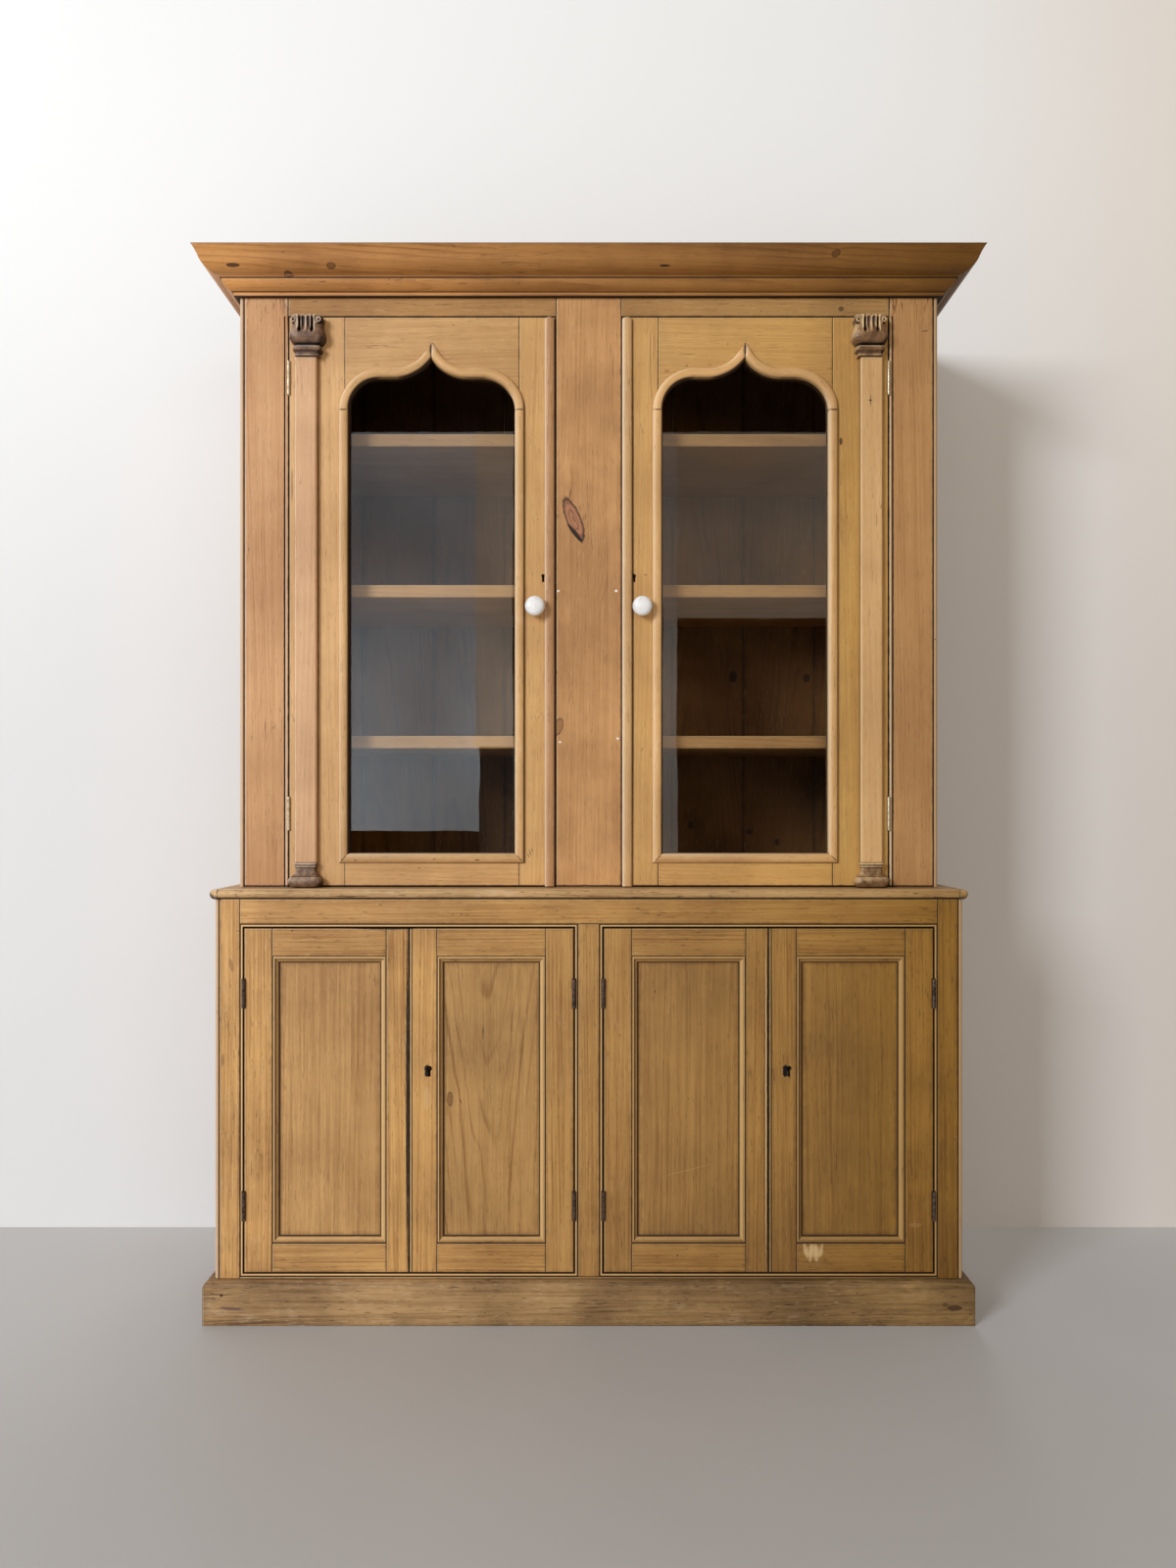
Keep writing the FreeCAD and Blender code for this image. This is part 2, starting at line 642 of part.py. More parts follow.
def make_upper_carcase():
    inner = half_upper - END_THICKNESS
    frame_back = upper_front + FRAME_THICKNESS
    board_back = back_y - BACK_THICKNESS
    save("upper_ends", both_sides(carcase_end(half_upper, upper_front, upper_base, upper_top)))

    # Face frame: beaded outer stiles, a wide centre stile and a rail over each door
    stile = box(upper_opening, half_upper - END_EDGE, upper_front, frame_back, upper_base, upper_top)
    stile = stile.cut(
        bead_waste(upper_opening, 1, upper_front, UPPER_STILE_BEAD, COCK_QUIRK, upper_base, upper_rail_bottom)
    )
    centre = box(-half_centre, half_centre, upper_front, frame_back, upper_base, upper_top)
    rail = box(half_centre, upper_opening, upper_front, frame_back, upper_rail_bottom, upper_top)
    low, high = upper_rail_bottom + TENON_SHOULDER, upper_top - TENON_SHOULDER
    outer_tenon = tenon(upper_opening, upper_opening + TENON_LENGTH, upper_front, FRAME_THICKNESS, low, high)
    inner_tenon = tenon(half_centre - TENON_LENGTH, half_centre, upper_front, FRAME_THICKNESS, low, high)
    seats = [hinge[3] for hinge in hinges["upper_right"]]
    stile = cut_all(stile, [outer_tenon, *seats])
    centre = cut_all(centre, [inner_tenon, mirrored(inner_tenon)])
    rail = clean(rail.fuse(outer_tenon).fuse(inner_tenon))
    save("upper_face_frame", [*both_sides(stile, rail), centre])

    bottom_front = upper_front + GLAZED_THICKNESS + BOTTOM_BOARD_EASE
    bottom = box(-inner, inner, bottom_front, board_back, upper_base, upper_base + INNER_BOARD)
    top = box(-inner, inner, frame_back, board_back, upper_top - INNER_BOARD, upper_top)
    save("upper_carcase_boards", [bottom, top])
    save("upper_back_boards", back_boards(inner + BACK_REBATE, upper_base, upper_top))

    # As many shelves as there is height for, each on a bearer at either end
    shelf_front = upper_front + SHELF_SETBACK
    shelves = []
    bearers = []
    shelf_top = upper_base + SHELF_FIRST
    while shelf_top + SHELF_HEADROOM < upper_top - INNER_BOARD:
        under = shelf_top - SHELF_THICKNESS
        foot = under - BEARER_HEIGHT
        shelves.append(box(-inner, inner, shelf_front, board_back, under, shelf_top))
        bearers.append(box(inner - BEARER_THICKNESS, inner, shelf_front, board_back, foot, under))
        shelf_top += SHELF_STEP
    save("upper_shelves", shelves)
    return both_sides(*bearers)


def make_cornice():
    """A bed moulding on the carcase carries a crown moulding, hollowed behind, that stands over the top."""
    bed_low, bed_high = cornice_base, cornice_base + BED_HEIGHT
    hollow_start = (BED_FILLET + BED_QUIRK, bed_low + BED_FILLET_HEIGHT + BED_QUIRK)
    bed = [
        (0, bed_low), (BED_FILLET, bed_low), (BED_FILLET, bed_low + BED_FILLET_HEIGHT), hollow_start,
        arc_to(hollow_start, (BED_PROJECTION, bed_high), BED_HOLLOW), (0, bed_high),
    ]
    save("cornice_bed_moulding", wrapped(bed, BED_PROJECTION, half_upper, upper_front))

    crown_foot = BED_PROJECTION + CROWN_FOOT
    fillet_top = bed_high + CROWN_FILLET
    belly_start = (crown_foot + CROWN_FOOT, fillet_top)
    belly_end = (CORNICE_PROJECTION - CROWN_HOLLOW_OUT, fillet_top + CROWN_BELLY_HEIGHT)
    crown_edge = (CORNICE_PROJECTION, TOTAL_HEIGHT)
    crown = [
        (0, bed_high), (crown_foot, bed_high), (crown_foot, fillet_top), belly_start,
        arc_to(belly_start, belly_end, CROWN_BELLY), arc_to(belly_end, crown_edge, -CROWN_HOLLOW),
        (CORNICE_PROJECTION - CROWN_TOP_EDGE, TOTAL_HEIGHT),
        (CROWN_BACK_FOOT, bed_high + CROWN_BACK_RISE), (0, bed_high + CROWN_BACK_RISE),
    ]
    save("cornice_crown", wrapped(crown, CORNICE_PROJECTION, half_upper, upper_front))


def arch_points(offset):
    """Where the ogee line turns on its left half, as far outside the edge of the glass as the offset says."""
    shoulder_x = light_middle - sight_half + shoulder_radius
    reverse_x = light_middle - reverse_spread
    reverse_z = spring_z + shoulder_radius + reverse_radius
    radius = reverse_radius - offset
    end_x = reverse_x + radius * math.sin(reverse_sweep)
    end_z = reverse_z - radius * math.cos(reverse_sweep)
    apex_z = end_z + (light_middle - end_x) * math.tan(reverse_sweep)
    return shoulder_x, reverse_x, reverse_z, (end_x, end_z), apex_z


def make_arch_rail():
    """The glazed door's top rail: the ogee arch in its lower edge, a square rebate behind for the glass."""
    outer = shoulder_radius + moulding_inset
    radius = reverse_radius - moulding_inset
    shoulder_x, reverse_x, reverse_z, end, apex_z = arch_points(moulding_inset)
    start = math.acos(1 - SPANDREL_TIP / outer)
    mid_turn = (start + math.pi / 2) / 2
    half_turn = reverse_sweep / 2
    flat_z = spring_z + outer
    tip_z = spring_z + outer * math.sin(start)

    def flip(point):
        return (2 * light_middle - point[0], point[1])

    tip = (light_left + SPANDREL_TIP, tip_z)
    shoulder_mid = (shoulder_x - outer * math.cos(mid_turn), spring_z + outer * math.sin(mid_turn))
    shoulder_end = (shoulder_x, flat_z)
    flat_end = (reverse_x, flat_z)
    reverse_mid = (reverse_x + radius * math.sin(half_turn), reverse_z - radius * math.cos(half_turn))
    path = [
        (light_left, glazed_top), (light_left, tip_z), tip, (shoulder_mid, shoulder_end), flat_end,
        (reverse_mid, end), (light_middle, apex_z), flip(end), (flip(reverse_mid), flip(flat_end)),
        flip(shoulder_end), (flip(shoulder_mid), flip(tip)), (light_right, tip_z), (light_right, glazed_top),
    ]
    rail = plate_xz(path, upper_front, upper_front + GLAZED_THICKNESS)
    glass_top = apex_z + GLASS_COVER
    rebate = box(light_left, light_right, upper_front + GLASS_DEPTH, upper_front + GLAZED_THICKNESS,
                 tip_z - OVERRUN, glass_top)
    return rail.cut(rebate), glass_top


def make_glazing_mouldings(glass_top):
    """Half-round moulding round the glass, over the ogee arch too, and chamfered beads behind the glass."""
    half = MOULDING_WIDTH / 2
    section = oval_points((half, 0), -half, -MOULDING_RISE, 0, 180, HALF_ROUND_FACETS) + [
        (MOULDING_WIDTH, GLASS_DEPTH), (MOULDING_LAP, GLASS_DEPTH), (MOULDING_LAP, 0),
    ]
    rise = MOULDING_RISE + OVERRUN
    outer_left, outer_right = light_left - MOULDING_LAP, light_right + MOULDING_LAP
    outer_bottom = light_bottom - MOULDING_LAP
    bottom, _, left, right = framed(section, MOULDING_WIDTH, rise, upper_front,
                                    outer_left, outer_right, outer_bottom, glazed_top)
    above = box(outer_left - rise, outer_right + rise, upper_front - rise, upper_front + rise,
                spring_z, glazed_top + rise)
    uprights = [clean(piece.cut(above)) for piece in (left, right)]

    # Half of the arch: shoulder, flat, reverse curve, and a straight end cut on the mitre at the apex
    shoulder_x, reverse_x, reverse_z, _, _ = arch_points(0)
    flat_z = spring_z + shoulder_radius
    turn = Vector(0, 1, 0)

    def at_spring(u, v):
        return Vector(shoulder_x - shoulder_radius - (MOULDING_WIDTH - u), upper_front + v, spring_z)

    def at_flat(x):
        return lambda u, v: Vector(x, upper_front + v, flat_z + MOULDING_WIDTH - u)

    def at_end(u, v):
        radius = reverse_radius - (MOULDING_WIDTH - u)
        return Vector(reverse_x + radius * math.sin(reverse_sweep), upper_front + v,
                      reverse_z - radius * math.cos(reverse_sweep))

    shoulder = outline(section, at_spring).revolve(Vector(shoulder_x, 0, spring_z), turn, 90)
    flat = moulded(section, at_flat(shoulder_x), Vector(reverse_x - shoulder_x, 0, 0))
    reverse_centre = Vector(reverse_x, 0, reverse_z)
    reverse = outline(section, at_flat(reverse_x)).revolve(reverse_centre, turn, -REVERSE_SWEEP)
    tail = MOULDING_WIDTH * math.tan(reverse_sweep) + OVERRUN
    straight = moulded(section, at_end, Vector(math.cos(reverse_sweep), 0, math.sin(reverse_sweep)) * tail)
    beyond = box(light_middle, light_right, upper_front - rise, upper_front + rise, spring_z, glazed_top)
    half_arch = clean(shoulder.fuse([flat, reverse, straight]).cut(beyond))
    other_half = half_arch.mirror(Vector(light_middle, 0, 0), Vector(1, 0, 0))

    chamfer = GLAZING_BEAD_DEPTH / 2
    square = [
        (0, 0), (GLAZING_BEAD, 0), (GLAZING_BEAD, chamfer), (GLAZING_BEAD - chamfer, GLAZING_BEAD_DEPTH),
        (0, GLAZING_BEAD_DEPTH),
    ]
    behind = upper_front + GLASS_DEPTH + GLASS_THICKNESS
    beads = framed(square, GLAZING_BEAD, GLAZING_BEAD_DEPTH, behind,
                   light_left, light_right, light_bottom, glass_top)
    return [bottom, *uprights, half_arch, other_half, *beads]


def make_pilaster():
    """Flat shaft with eased edges."""
    middle = glazed_hinge_edge - PILASTER_FROM_HINGE
    left, right = middle - PILASTER_WIDTH / 2, middle + PILASTER_WIDTH / 2
    front = upper_front - PILASTER_RISE
    plan = [
        (left, upper_front), (left, front + PILASTER_EASE), (left + PILASTER_EASE, front),
        (right - PILASTER_EASE, front), (right, front + PILASTER_EASE), (right, upper_front),
    ]
    capital_foot = glazed_top - CAPITAL_BELOW_TOP - CAPITAL_HEIGHT
    return plate_xy(plan, glazed_bottom + BASE_HEIGHT, capital_foot)


def make_base_block():
    """A torus, a hollow, a neck and a double fillet, with the front corners canted."""
    torus_top = (BASE_SHOULDER, BASE_BULGE_HEIGHT)
    neck_low = BASE_BULGE_HEIGHT + BASE_HOLLOW_HEIGHT
    neck_high = neck_low + BASE_NECK_HEIGHT
    cap_low = BASE_HEIGHT - BASE_CAP_HEIGHT
    fillet_low = cap_low - BASE_FILLET_HEIGHT
    steps = [
        (BASE_FOOT, 0), arc_to((BASE_FOOT, 0), torus_top, BASE_BULGE),
        arc_to(torus_top, (BASE_NECK, neck_low), -BASE_HOLLOW), (BASE_NECK, neck_high),
        (BASE_FILLET, fillet_low), (BASE_FILLET, cap_low), (BASE_CAP, cap_low), (BASE_CAP, BASE_HEIGHT),
    ]
    widest = BASE_FOOT + BASE_BULGE
    front = widest - BLOCK_DEPTH_LOSS
    cant = [
        (-widest, 0), (-widest, BASE_CANT - front), (BASE_CANT - widest, -front),
        (widest - BASE_CANT, -front), (widest, BASE_CANT - front), (widest, 0),
    ]
    base = clean(carved_block(steps, BASE_HEIGHT).common(plate_xy(cant, 0, BASE_HEIGHT)))
    base.translate(Vector(glazed_hinge_edge - PILASTER_FROM_HINGE, upper_front, glazed_bottom))
    return base


def make_capital():
    """A ring, a bell and a scroll over them, with two flutes gouged in the bell's upper part."""
    ring_low = CAPITAL_FOOT_HEIGHT + CAPITAL_COLLAR_RISE
    ring_high = ring_low + CAPITAL_RING_HEIGHT
    bell_low = ring_high + CAPITAL_COLLAR_RISE
    bell_high = bell_low + CAPITAL_BELL_HEIGHT
    scroll_low = bell_high + CAPITAL_NECK_HEIGHT
    steps = [(CAPITAL_FOOT, 0), (CAPITAL_FOOT, CAPITAL_FOOT_HEIGHT)]
    curves = (
        ((CAPITAL_COLLAR, ring_low), (CAPITAL_COLLAR, ring_high), CAPITAL_RING_BULGE),
        ((CAPITAL_BELL, bell_low), (CAPITAL_LIP, bell_high), CAPITAL_BELL_BULGE),
        ((CAPITAL_NECK, scroll_low), (CAPITAL_NECK, CAPITAL_HEIGHT), CAPITAL_SCROLL_BULGE),
    )
    for start, end, bulge in curves:
        steps += [start, *arc_facets(start, end, bulge, CARVED_FACETS)]
    capital = carved_block(steps, CAPITAL_HEIGHT)
    gouge_front = BLOCK_DEPTH_LOSS - CAPITAL_NECK - FLUTE_RADIUS / 2
    for x in (-FLUTE_SPREAD, FLUTE_SPREAD):
        flute = round_bar(FLUTE_RADIUS, Vector(x, gouge_front, FLUTE_RISE), Vector(0, 0, 1), CAPITAL_HEIGHT)
        capital = capital.cut(flute)
    capital = clean(capital)
    capital_foot = glazed_top - CAPITAL_BELOW_TOP - CAPITAL_HEIGHT
    capital.translate(Vector(glazed_hinge_edge - CAPITAL_FROM_HINGE, upper_front, capital_foot))
    return capital


def make_knob():
    """A turned knob on a bolt through the stile, with a six-sided nut inside."""
    x = glazed_lock_edge + KNOB_FROM_EDGE
    back = Vector(0, 1, 0)
    throat = KNOB_NECK + (KNOB_THROAT - KNOB_NECK_HEIGHT) / 2
    under = oval_points((throat, KNOB_SHOULDER), KNOB_RADIUS - throat, KNOB_THROAT - KNOB_SHOULDER, 90, 0, 2)
    dome = oval_points((0, KNOB_SHOULDER), KNOB_RADIUS, KNOB_LENGTH - KNOB_SHOULDER, 0, 90, KNOB_FACETS)
    foot = [(0, 0), (KNOB_FOOT, 0), (KNOB_FOOT, KNOB_FOOT_HEIGHT), (KNOB_NECK, KNOB_NECK_HEIGHT)]
    profile = [*foot, *under, *dome[1:]]
    knob = turning(profile, KNOB_SIDES, lambda u, v, out: Vector(x + u, upper_front - out, knob_z + v))
    start = Vector(x, upper_front - BOLT_IN_KNOB, knob_z)
    reach = BOLT_IN_KNOB + GLAZED_THICKNESS
    hole = round_bar(BOLT_RADIUS + BOLT_EASE, start, back, reach + OVERRUN)
    inside = upper_front + GLAZED_THICKNESS
    turns = [math.radians(60 * corner) for corner in range(6)]
    corners = [(x + NUT_RADIUS * math.cos(turn), knob_z + NUT_RADIUS * math.sin(turn)) for turn in turns]
    bolt = round_bar(BOLT_RADIUS, start, back, reach).fuse(plate_xz(corners, inside, inside + NUT_HEIGHT))
    return knob.cut(hole), clean(bolt), hole


def make_lock(edge, inward, backset, height, front, thickness):
    """A rim lock on the inner face of a stile, and the latch that slides out past the door's edge."""
    back = front + thickness
    near = edge + inward * LOCK_FROM_EDGE
    far = edge + inward * (backset + LOCK_BEHIND_KEY)
    case = box(min(near, far), max(near, far), back, back + LOCK_DEPTH,
               height - LOCK_HEIGHT / 2, height + LOCK_HEIGHT / 2)
    half = LATCH_HEIGHT / 2
    latch_back = near + inward * LATCH_LENGTH
    slot_end = latch_back + inward * SLIDE_EASE
    slot = box(min(near, slot_end), max(near, slot_end),
               back + LOCK_WALL - SLIDE_EASE, back + LOCK_DEPTH - LOCK_WALL + SLIDE_EASE,
               height - half - SLIDE_EASE, height + half + SLIDE_EASE)
    latch = box(min(near, latch_back), max(near, latch_back), back + LOCK_WALL, back + LOCK_DEPTH - LOCK_WALL,
                height - half, height + half)
    return clean(case.cut(slot)), latch


def make_glazed_doors():
    hinge_stile = box(light_right, glazed_hinge_edge, upper_front, upper_front + GLAZED_THICKNESS,
                      glazed_bottom, glazed_top)
    lock_stile = box(glazed_lock_edge, light_left, upper_front, upper_front + GLAZED_THICKNESS,
                     glazed_bottom, glazed_top)
    bottom_rail = box(light_left, light_right, upper_front, upper_front + GLAZED_THICKNESS,
                      glazed_bottom, light_bottom)
    arch_rail, glass_top = make_arch_rail()
    rails = []
    for rail, z0, z1 in ((bottom_rail, glazed_bottom, light_bottom), (arch_rail, glass_top, glazed_top)):
        low, high = z0 + TENON_SHOULDER, z1 - TENON_SHOULDER
        left_end, right_end = glazed_lock_edge + DOOR_TENON_SHY, glazed_hinge_edge - DOOR_TENON_SHY
        left = tenon(left_end, light_left, upper_front, GLAZED_THICKNESS, low, high)
        right = tenon(light_right, right_end, upper_front, GLAZED_THICKNESS, low, high)
        lock_stile = lock_stile.cut(left)
        hinge_stile = hinge_stile.cut(right)
        rails.append(clean(rail.fuse(left).fuse(right)))
    knob, bolt, hole = make_knob()
    key_x = glazed_lock_edge + UPPER_BACKSET
    eye = keyhole(key_x, upper_key_z, UPPER_KEY_LENGTH, UPPER_KEY_RADIUS, upper_front, GLAZED_THICKNESS)
    lock_stile = cut_all(lock_stile, [hole, eye])
    hinge_stile = cut_all(hinge_stile, [hinge[2] for hinge in hinges["upper_right"]])
    glass = box(light_left + GLASS_EASE, light_right - GLASS_EASE,
                upper_front + GLASS_DEPTH, upper_front + GLASS_DEPTH + GLASS_THICKNESS,
                light_bottom + GLASS_EASE, glass_top - GLASS_EASE)
    half_round = [(0, 0), ((COVER_BEAD / 2, -COVER_BEAD_RISE), (COVER_BEAD, 0))]
    cover = moulded(half_round, lambda u, v: Vector(glazed_lock_edge + u, upper_front + v, glazed_bottom),
                    Vector(0, 0, glazed_top - glazed_bottom))
    cover = clean(cover.cut(eye))
    case, latch = make_lock(glazed_lock_edge, 1, UPPER_BACKSET, upper_key_z, upper_front, GLAZED_THICKNESS)
    pieces = {
        "frame": [hinge_stile, lock_stile, *rails],
        "glass": [glass],
        "glazing_mouldings": make_glazing_mouldings(glass_top),
        "pilaster": [make_pilaster()],
        "pilaster_blocks": [make_base_block(), make_capital()],
        "cover_bead": [cover],
        "knob": [knob],
        "knob_bolt": [bolt],
        "hinge_leaves": [hinge[0] for hinge in hinges["upper_right"]],
        "lock_case": [case],
        "lock_bolt": [latch],
    }
    for piece, shapes in pieces.items():
        save("upper_door_right_" + piece, shapes)
        save("upper_door_left_" + piece, [mirrored(shape) for shape in shapes])


def make_panelled_door(number, left_edge, left_stile, right_stile, beaded):
    """A framed door with a flat sunk panel and an ogee moulding planted round it."""
    name = "lower_door_%d_" % number
    front, back = lower_front, lower_front + PANELLED_THICKNESS
    right_edge = left_edge + panelled_width
    x0, x1 = left_edge + left_stile, right_edge - right_stile
    z0, z1 = panelled_bottom + PANELLED_BOTTOM_RAIL, panelled_top - PANELLED_TOP_RAIL
    panel_front = front + PANEL_RECESS
    panel_back = panel_front + PANEL_THICKNESS
    groove = box(x0 - PANEL_GROOVE, x1 + PANEL_GROOVE, panel_front, panel_back,
                 z0 - PANEL_GROOVE, z1 + PANEL_GROOVE)
    left = box(left_edge, x0, front, back, panelled_bottom, panelled_top).cut(groove)
    right = box(x1, right_edge, front, back, panelled_bottom, panelled_top).cut(groove)
    rails = []
    for low, high in ((panelled_bottom, z0), (z1, panelled_top)):
        rail = box(x0, x1, front, back, low, high).cut(groove)
        tongue_low = low + TENON_SHOULDER
        tongue_high = high - TENON_SHOULDER
        for edge, reach in ((x0, DOOR_TENON_SHY - left_stile), (x1, right_stile - DOOR_TENON_SHY)):
            tongue = box(min(edge, edge + reach), max(edge, edge + reach), panel_front, panel_back,
                         tongue_low, tongue_high)
            rail = rail.fuse(tongue)
            left = left.cut(tongue)
            right = right.cut(tongue)
        rails.append(clean(rail))
    if beaded:
        waste = bead_waste(left_edge, 1, front, MEETING_BEAD, MEETING_QUIRK, panelled_bottom, panelled_top)
        key_x = left_edge + LOWER_BACKSET
        eye = keyhole(key_x, lower_key_z, LOWER_KEY_LENGTH, LOWER_KEY_RADIUS, front, PANELLED_THICKNESS)
        left = left.cut(waste).cut(eye)
        case, latch = make_lock(left_edge, 1, LOWER_BACKSET, lower_key_z, front, PANELLED_THICKNESS)
        save(name + "lock_case", [case])
        save(name + "lock_bolt", [latch])
    door_hinges = hinges["lower_%d" % number]
    seats = [hinge[2] for hinge in door_hinges]
    save(name + "frame", [cut_all(left, seats), cut_all(right, seats), *rails])
    ease = PANEL_GROOVE - PANEL_EASE
    save(name + "panel", [box(x0 - ease, x1 + ease, panel_front, panel_back, z0 - ease, z1 + ease)])
    waist = ((OGEE_FILLET + OGEE_WIDTH) / 2, PANEL_RECESS / 2)
    low = (OGEE_WIDTH, PANEL_RECESS - OGEE_FOOT)
    ogee = [
        (0, PANEL_RECESS), (0, OGEE_SUNK), (OGEE_FILLET, OGEE_SUNK),
        *arc_facets((OGEE_FILLET, OGEE_SUNK), waist, OGEE_SUNK, 2), *arc_facets(waist, low, -OGEE_SUNK, 2),
        (OGEE_WIDTH, PANEL_RECESS),
    ]
    save(name + "panel_moulding", framed(ogee, OGEE_WIDTH, PANEL_RECESS, front, x0, x1, z0, z1))
    save(name + "hinge_leaves", [hinge[0] for hinge in door_hinges])


def make_panelled_doors():
    outer_left = -reveal_outer + DOOR_GAP
    inner_left = reveal_inner + DOOR_GAP
    step = panelled_width + DOOR_GAP
    for number, edge in ((1, outer_left), (3, inner_left)):
        make_panelled_door(number, edge, PANELLED_HINGE_STILE, PLAIN_MEETING_STILE, beaded=False)
        make_panelled_door(number + 1, edge + step, BEADED_MEETING_STILE, PANELLED_HINGE_STILE, beaded=True)


def make_frame_hinges():
    brass = [hinge[1] for door in ("upper_left", "upper_right") for hinge in hinges[door]]
    iron = [hinge[1] for number in range(1, 5) for hinge in hinges["lower_%d" % number]]
    save("upper_frame_hinge_leaves", brass)
    save("lower_frame_hinge_leaves", iron)


os.makedirs("parts", exist_ok=True)
hinges = make_hinges()
lower_bearers = make_lower_carcase()
make_plinth()
make_top_board()
upper_bearers = make_upper_carcase()
save("shelf_bearers", lower_bearers + upper_bearers)
make_cornice()
make_glazed_doors()
make_panelled_doors()
make_frame_hinges()
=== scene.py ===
"""A glazed pine cabinet: a bookcase with two ogee-arched doors on a cupboard with four panelled doors."""

import json
import math
import random

import bmesh
import bpy
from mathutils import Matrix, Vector

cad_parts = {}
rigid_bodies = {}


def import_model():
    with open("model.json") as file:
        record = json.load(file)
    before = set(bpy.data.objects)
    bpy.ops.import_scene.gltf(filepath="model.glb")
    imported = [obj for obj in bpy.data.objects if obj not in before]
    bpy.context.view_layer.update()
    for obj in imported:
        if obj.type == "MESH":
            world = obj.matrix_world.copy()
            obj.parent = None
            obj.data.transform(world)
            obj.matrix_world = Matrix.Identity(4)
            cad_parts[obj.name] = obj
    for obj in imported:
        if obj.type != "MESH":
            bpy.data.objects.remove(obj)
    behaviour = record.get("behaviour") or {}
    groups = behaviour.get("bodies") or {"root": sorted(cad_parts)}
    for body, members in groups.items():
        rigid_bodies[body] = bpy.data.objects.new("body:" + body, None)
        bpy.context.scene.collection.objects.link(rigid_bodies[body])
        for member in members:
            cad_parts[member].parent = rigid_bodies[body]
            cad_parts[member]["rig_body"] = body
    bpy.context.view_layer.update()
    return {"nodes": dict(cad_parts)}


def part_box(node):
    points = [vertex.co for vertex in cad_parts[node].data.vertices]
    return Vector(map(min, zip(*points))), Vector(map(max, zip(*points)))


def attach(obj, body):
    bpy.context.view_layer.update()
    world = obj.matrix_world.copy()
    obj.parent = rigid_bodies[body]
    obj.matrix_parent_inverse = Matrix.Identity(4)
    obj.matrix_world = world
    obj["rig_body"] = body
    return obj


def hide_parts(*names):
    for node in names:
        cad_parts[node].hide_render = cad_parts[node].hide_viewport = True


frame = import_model()

MM = 0.001
FAR_IN = (0.05, 0.05, 0.05)

# Places on the cabinet, in millimetres
BACK_FACE = 265.55
DOOR_FACE = -186.0
CUPBOARD_FACE = -243.0
PANEL_FACE = -233.0
GLASS_FACE = -177.0
THIN_BOARD = 40.0
FACE_DEPTH = 1.2
BLOCK_LOSS = 7.0
LIGHT_MIDDLE = 343.75
MOULDING_WIDTH = 21.5
MOULDING_RISE = 9.0
MOULDING_LEFT = 151.05
MOULDING_BOTTOM = 990.25
MOULDING_LAP_EDGE = 1.45
SPRING = 1972.0
SHOULDER_X = 233.8
SHOULDER_RADIUS = 82.75
REVERSE_X = 263.76
REVERSE_Z = 2142.5
REVERSE_RADIUS = 87.75
REVERSE_SWEEP = 54.3
COVER_LEFT = 73.5
COVER_WIDTH = 23.0
COVER_RISE = 8.0
PILASTER_MIDDLE = 618.5
CAPITAL_MIDDLE = 614.0
CAPITAL_FOOT = 2086.0
CAPITAL_HEIGHT = 86.0
SCROLL_OUT = 26.4
SCROLL_AHEAD = 23.5
SCROLL_UP = 75.0
BASE_FOOT = 928.5
BASE_HEIGHT = 52.0
KNOB_X = 117.0
KNOB_Z = 1540.0


def tone(red, green, blue):
    """A paint chip's colour, read in ordinary 0 to 255 steps, as the shader wants it."""
    steps = [channel / 255 for channel in (red, green, blue)]
    return tuple(s / 12.92 if s < 0.04045 else ((s + 0.055) / 1.055) ** 2.4 for s in steps) + (1.0,)


# Shader nodes

def place(tree, kind, sockets=None, **settings):
    """A node with its settings, each socket filled by a plain value or by another node's socket."""
    made = tree.nodes.new(kind)
    for setting, value in settings.items():
        setattr(made, setting, value)
    for key, value in (sockets or {}).items():
        if isinstance(value, bpy.types.NodeSocket):
            tree.links.new(value, made.inputs[key])
        else:
            made.inputs[key].default_value = value
    return made


def calc(tree, operation, first, second=0.0, third=0.0, clamp=False):
    """One step of arithmetic."""
    sockets = {0: first, 1: second, 2: third}
    return place(tree, "ShaderNodeMath", sockets, operation=operation, use_clamp=clamp).outputs[0]


def vector(tree, operation, first, second=(0, 0, 0)):
    """One step of arithmetic on points."""
    made = place(tree, "ShaderNodeVectorMath", {0: first, 1: second}, operation=operation)
    return made.outputs["Value" if operation in ("LENGTH", "DOT_PRODUCT") else "Vector"]


def ramp(tree, value, low, high, start=0.0, end=1.0):
    """A smooth step between two limits."""
    sockets = {"Value": value, "From Min": low, "From Max": high, "To Min": start, "To Max": end}
    return place(tree, "ShaderNodeMapRange", sockets, interpolation_type="SMOOTHSTEP").outputs[0]


def blend(tree, share, first, second, how="MIX"):
    """The first colour, with a share of the second one laid over it."""
    sockets = {0: share, 6: first, 7: second}
    return place(tree, "ShaderNodeMix", sockets, data_type="RGBA", blend_type=how).outputs[2]


def stretched(tree, point, x, y, z):
    """A point for a noise that is finer one way than another."""
    return vector(tree, "MULTIPLY", point, (x, y, z))


def noise(tree, point, scale, detail=2.0, roughness=0.5):
    """Soft random clouds, about 0.5 on the mean."""
    sockets = {"Vector": point, "Scale": scale, "Detail": detail, "Roughness": roughness}
    return place(tree, "ShaderNodeTexNoise", sockets).outputs[0]


def start_group(name, takes, gives):
    """An empty shader group: its tree, what comes in and what goes out, all by name."""
    tree = bpy.data.node_groups.new(name, "ShaderNodeTree")
    kinds = {float: "NodeSocketFloat", tuple: "NodeSocketVector"}
    for label, value in takes.items():
        made = tree.interface.new_socket(label, in_out="INPUT", socket_type=kinds[type(value)])
        made.default_value = value
    for label in gives:
        tree.interface.new_socket(label, in_out="OUTPUT", socket_type="NodeSocketFloat")
    return tree, tree.nodes.new("NodeGroupInput").outputs, tree.nodes.new("NodeGroupOutput").inputs


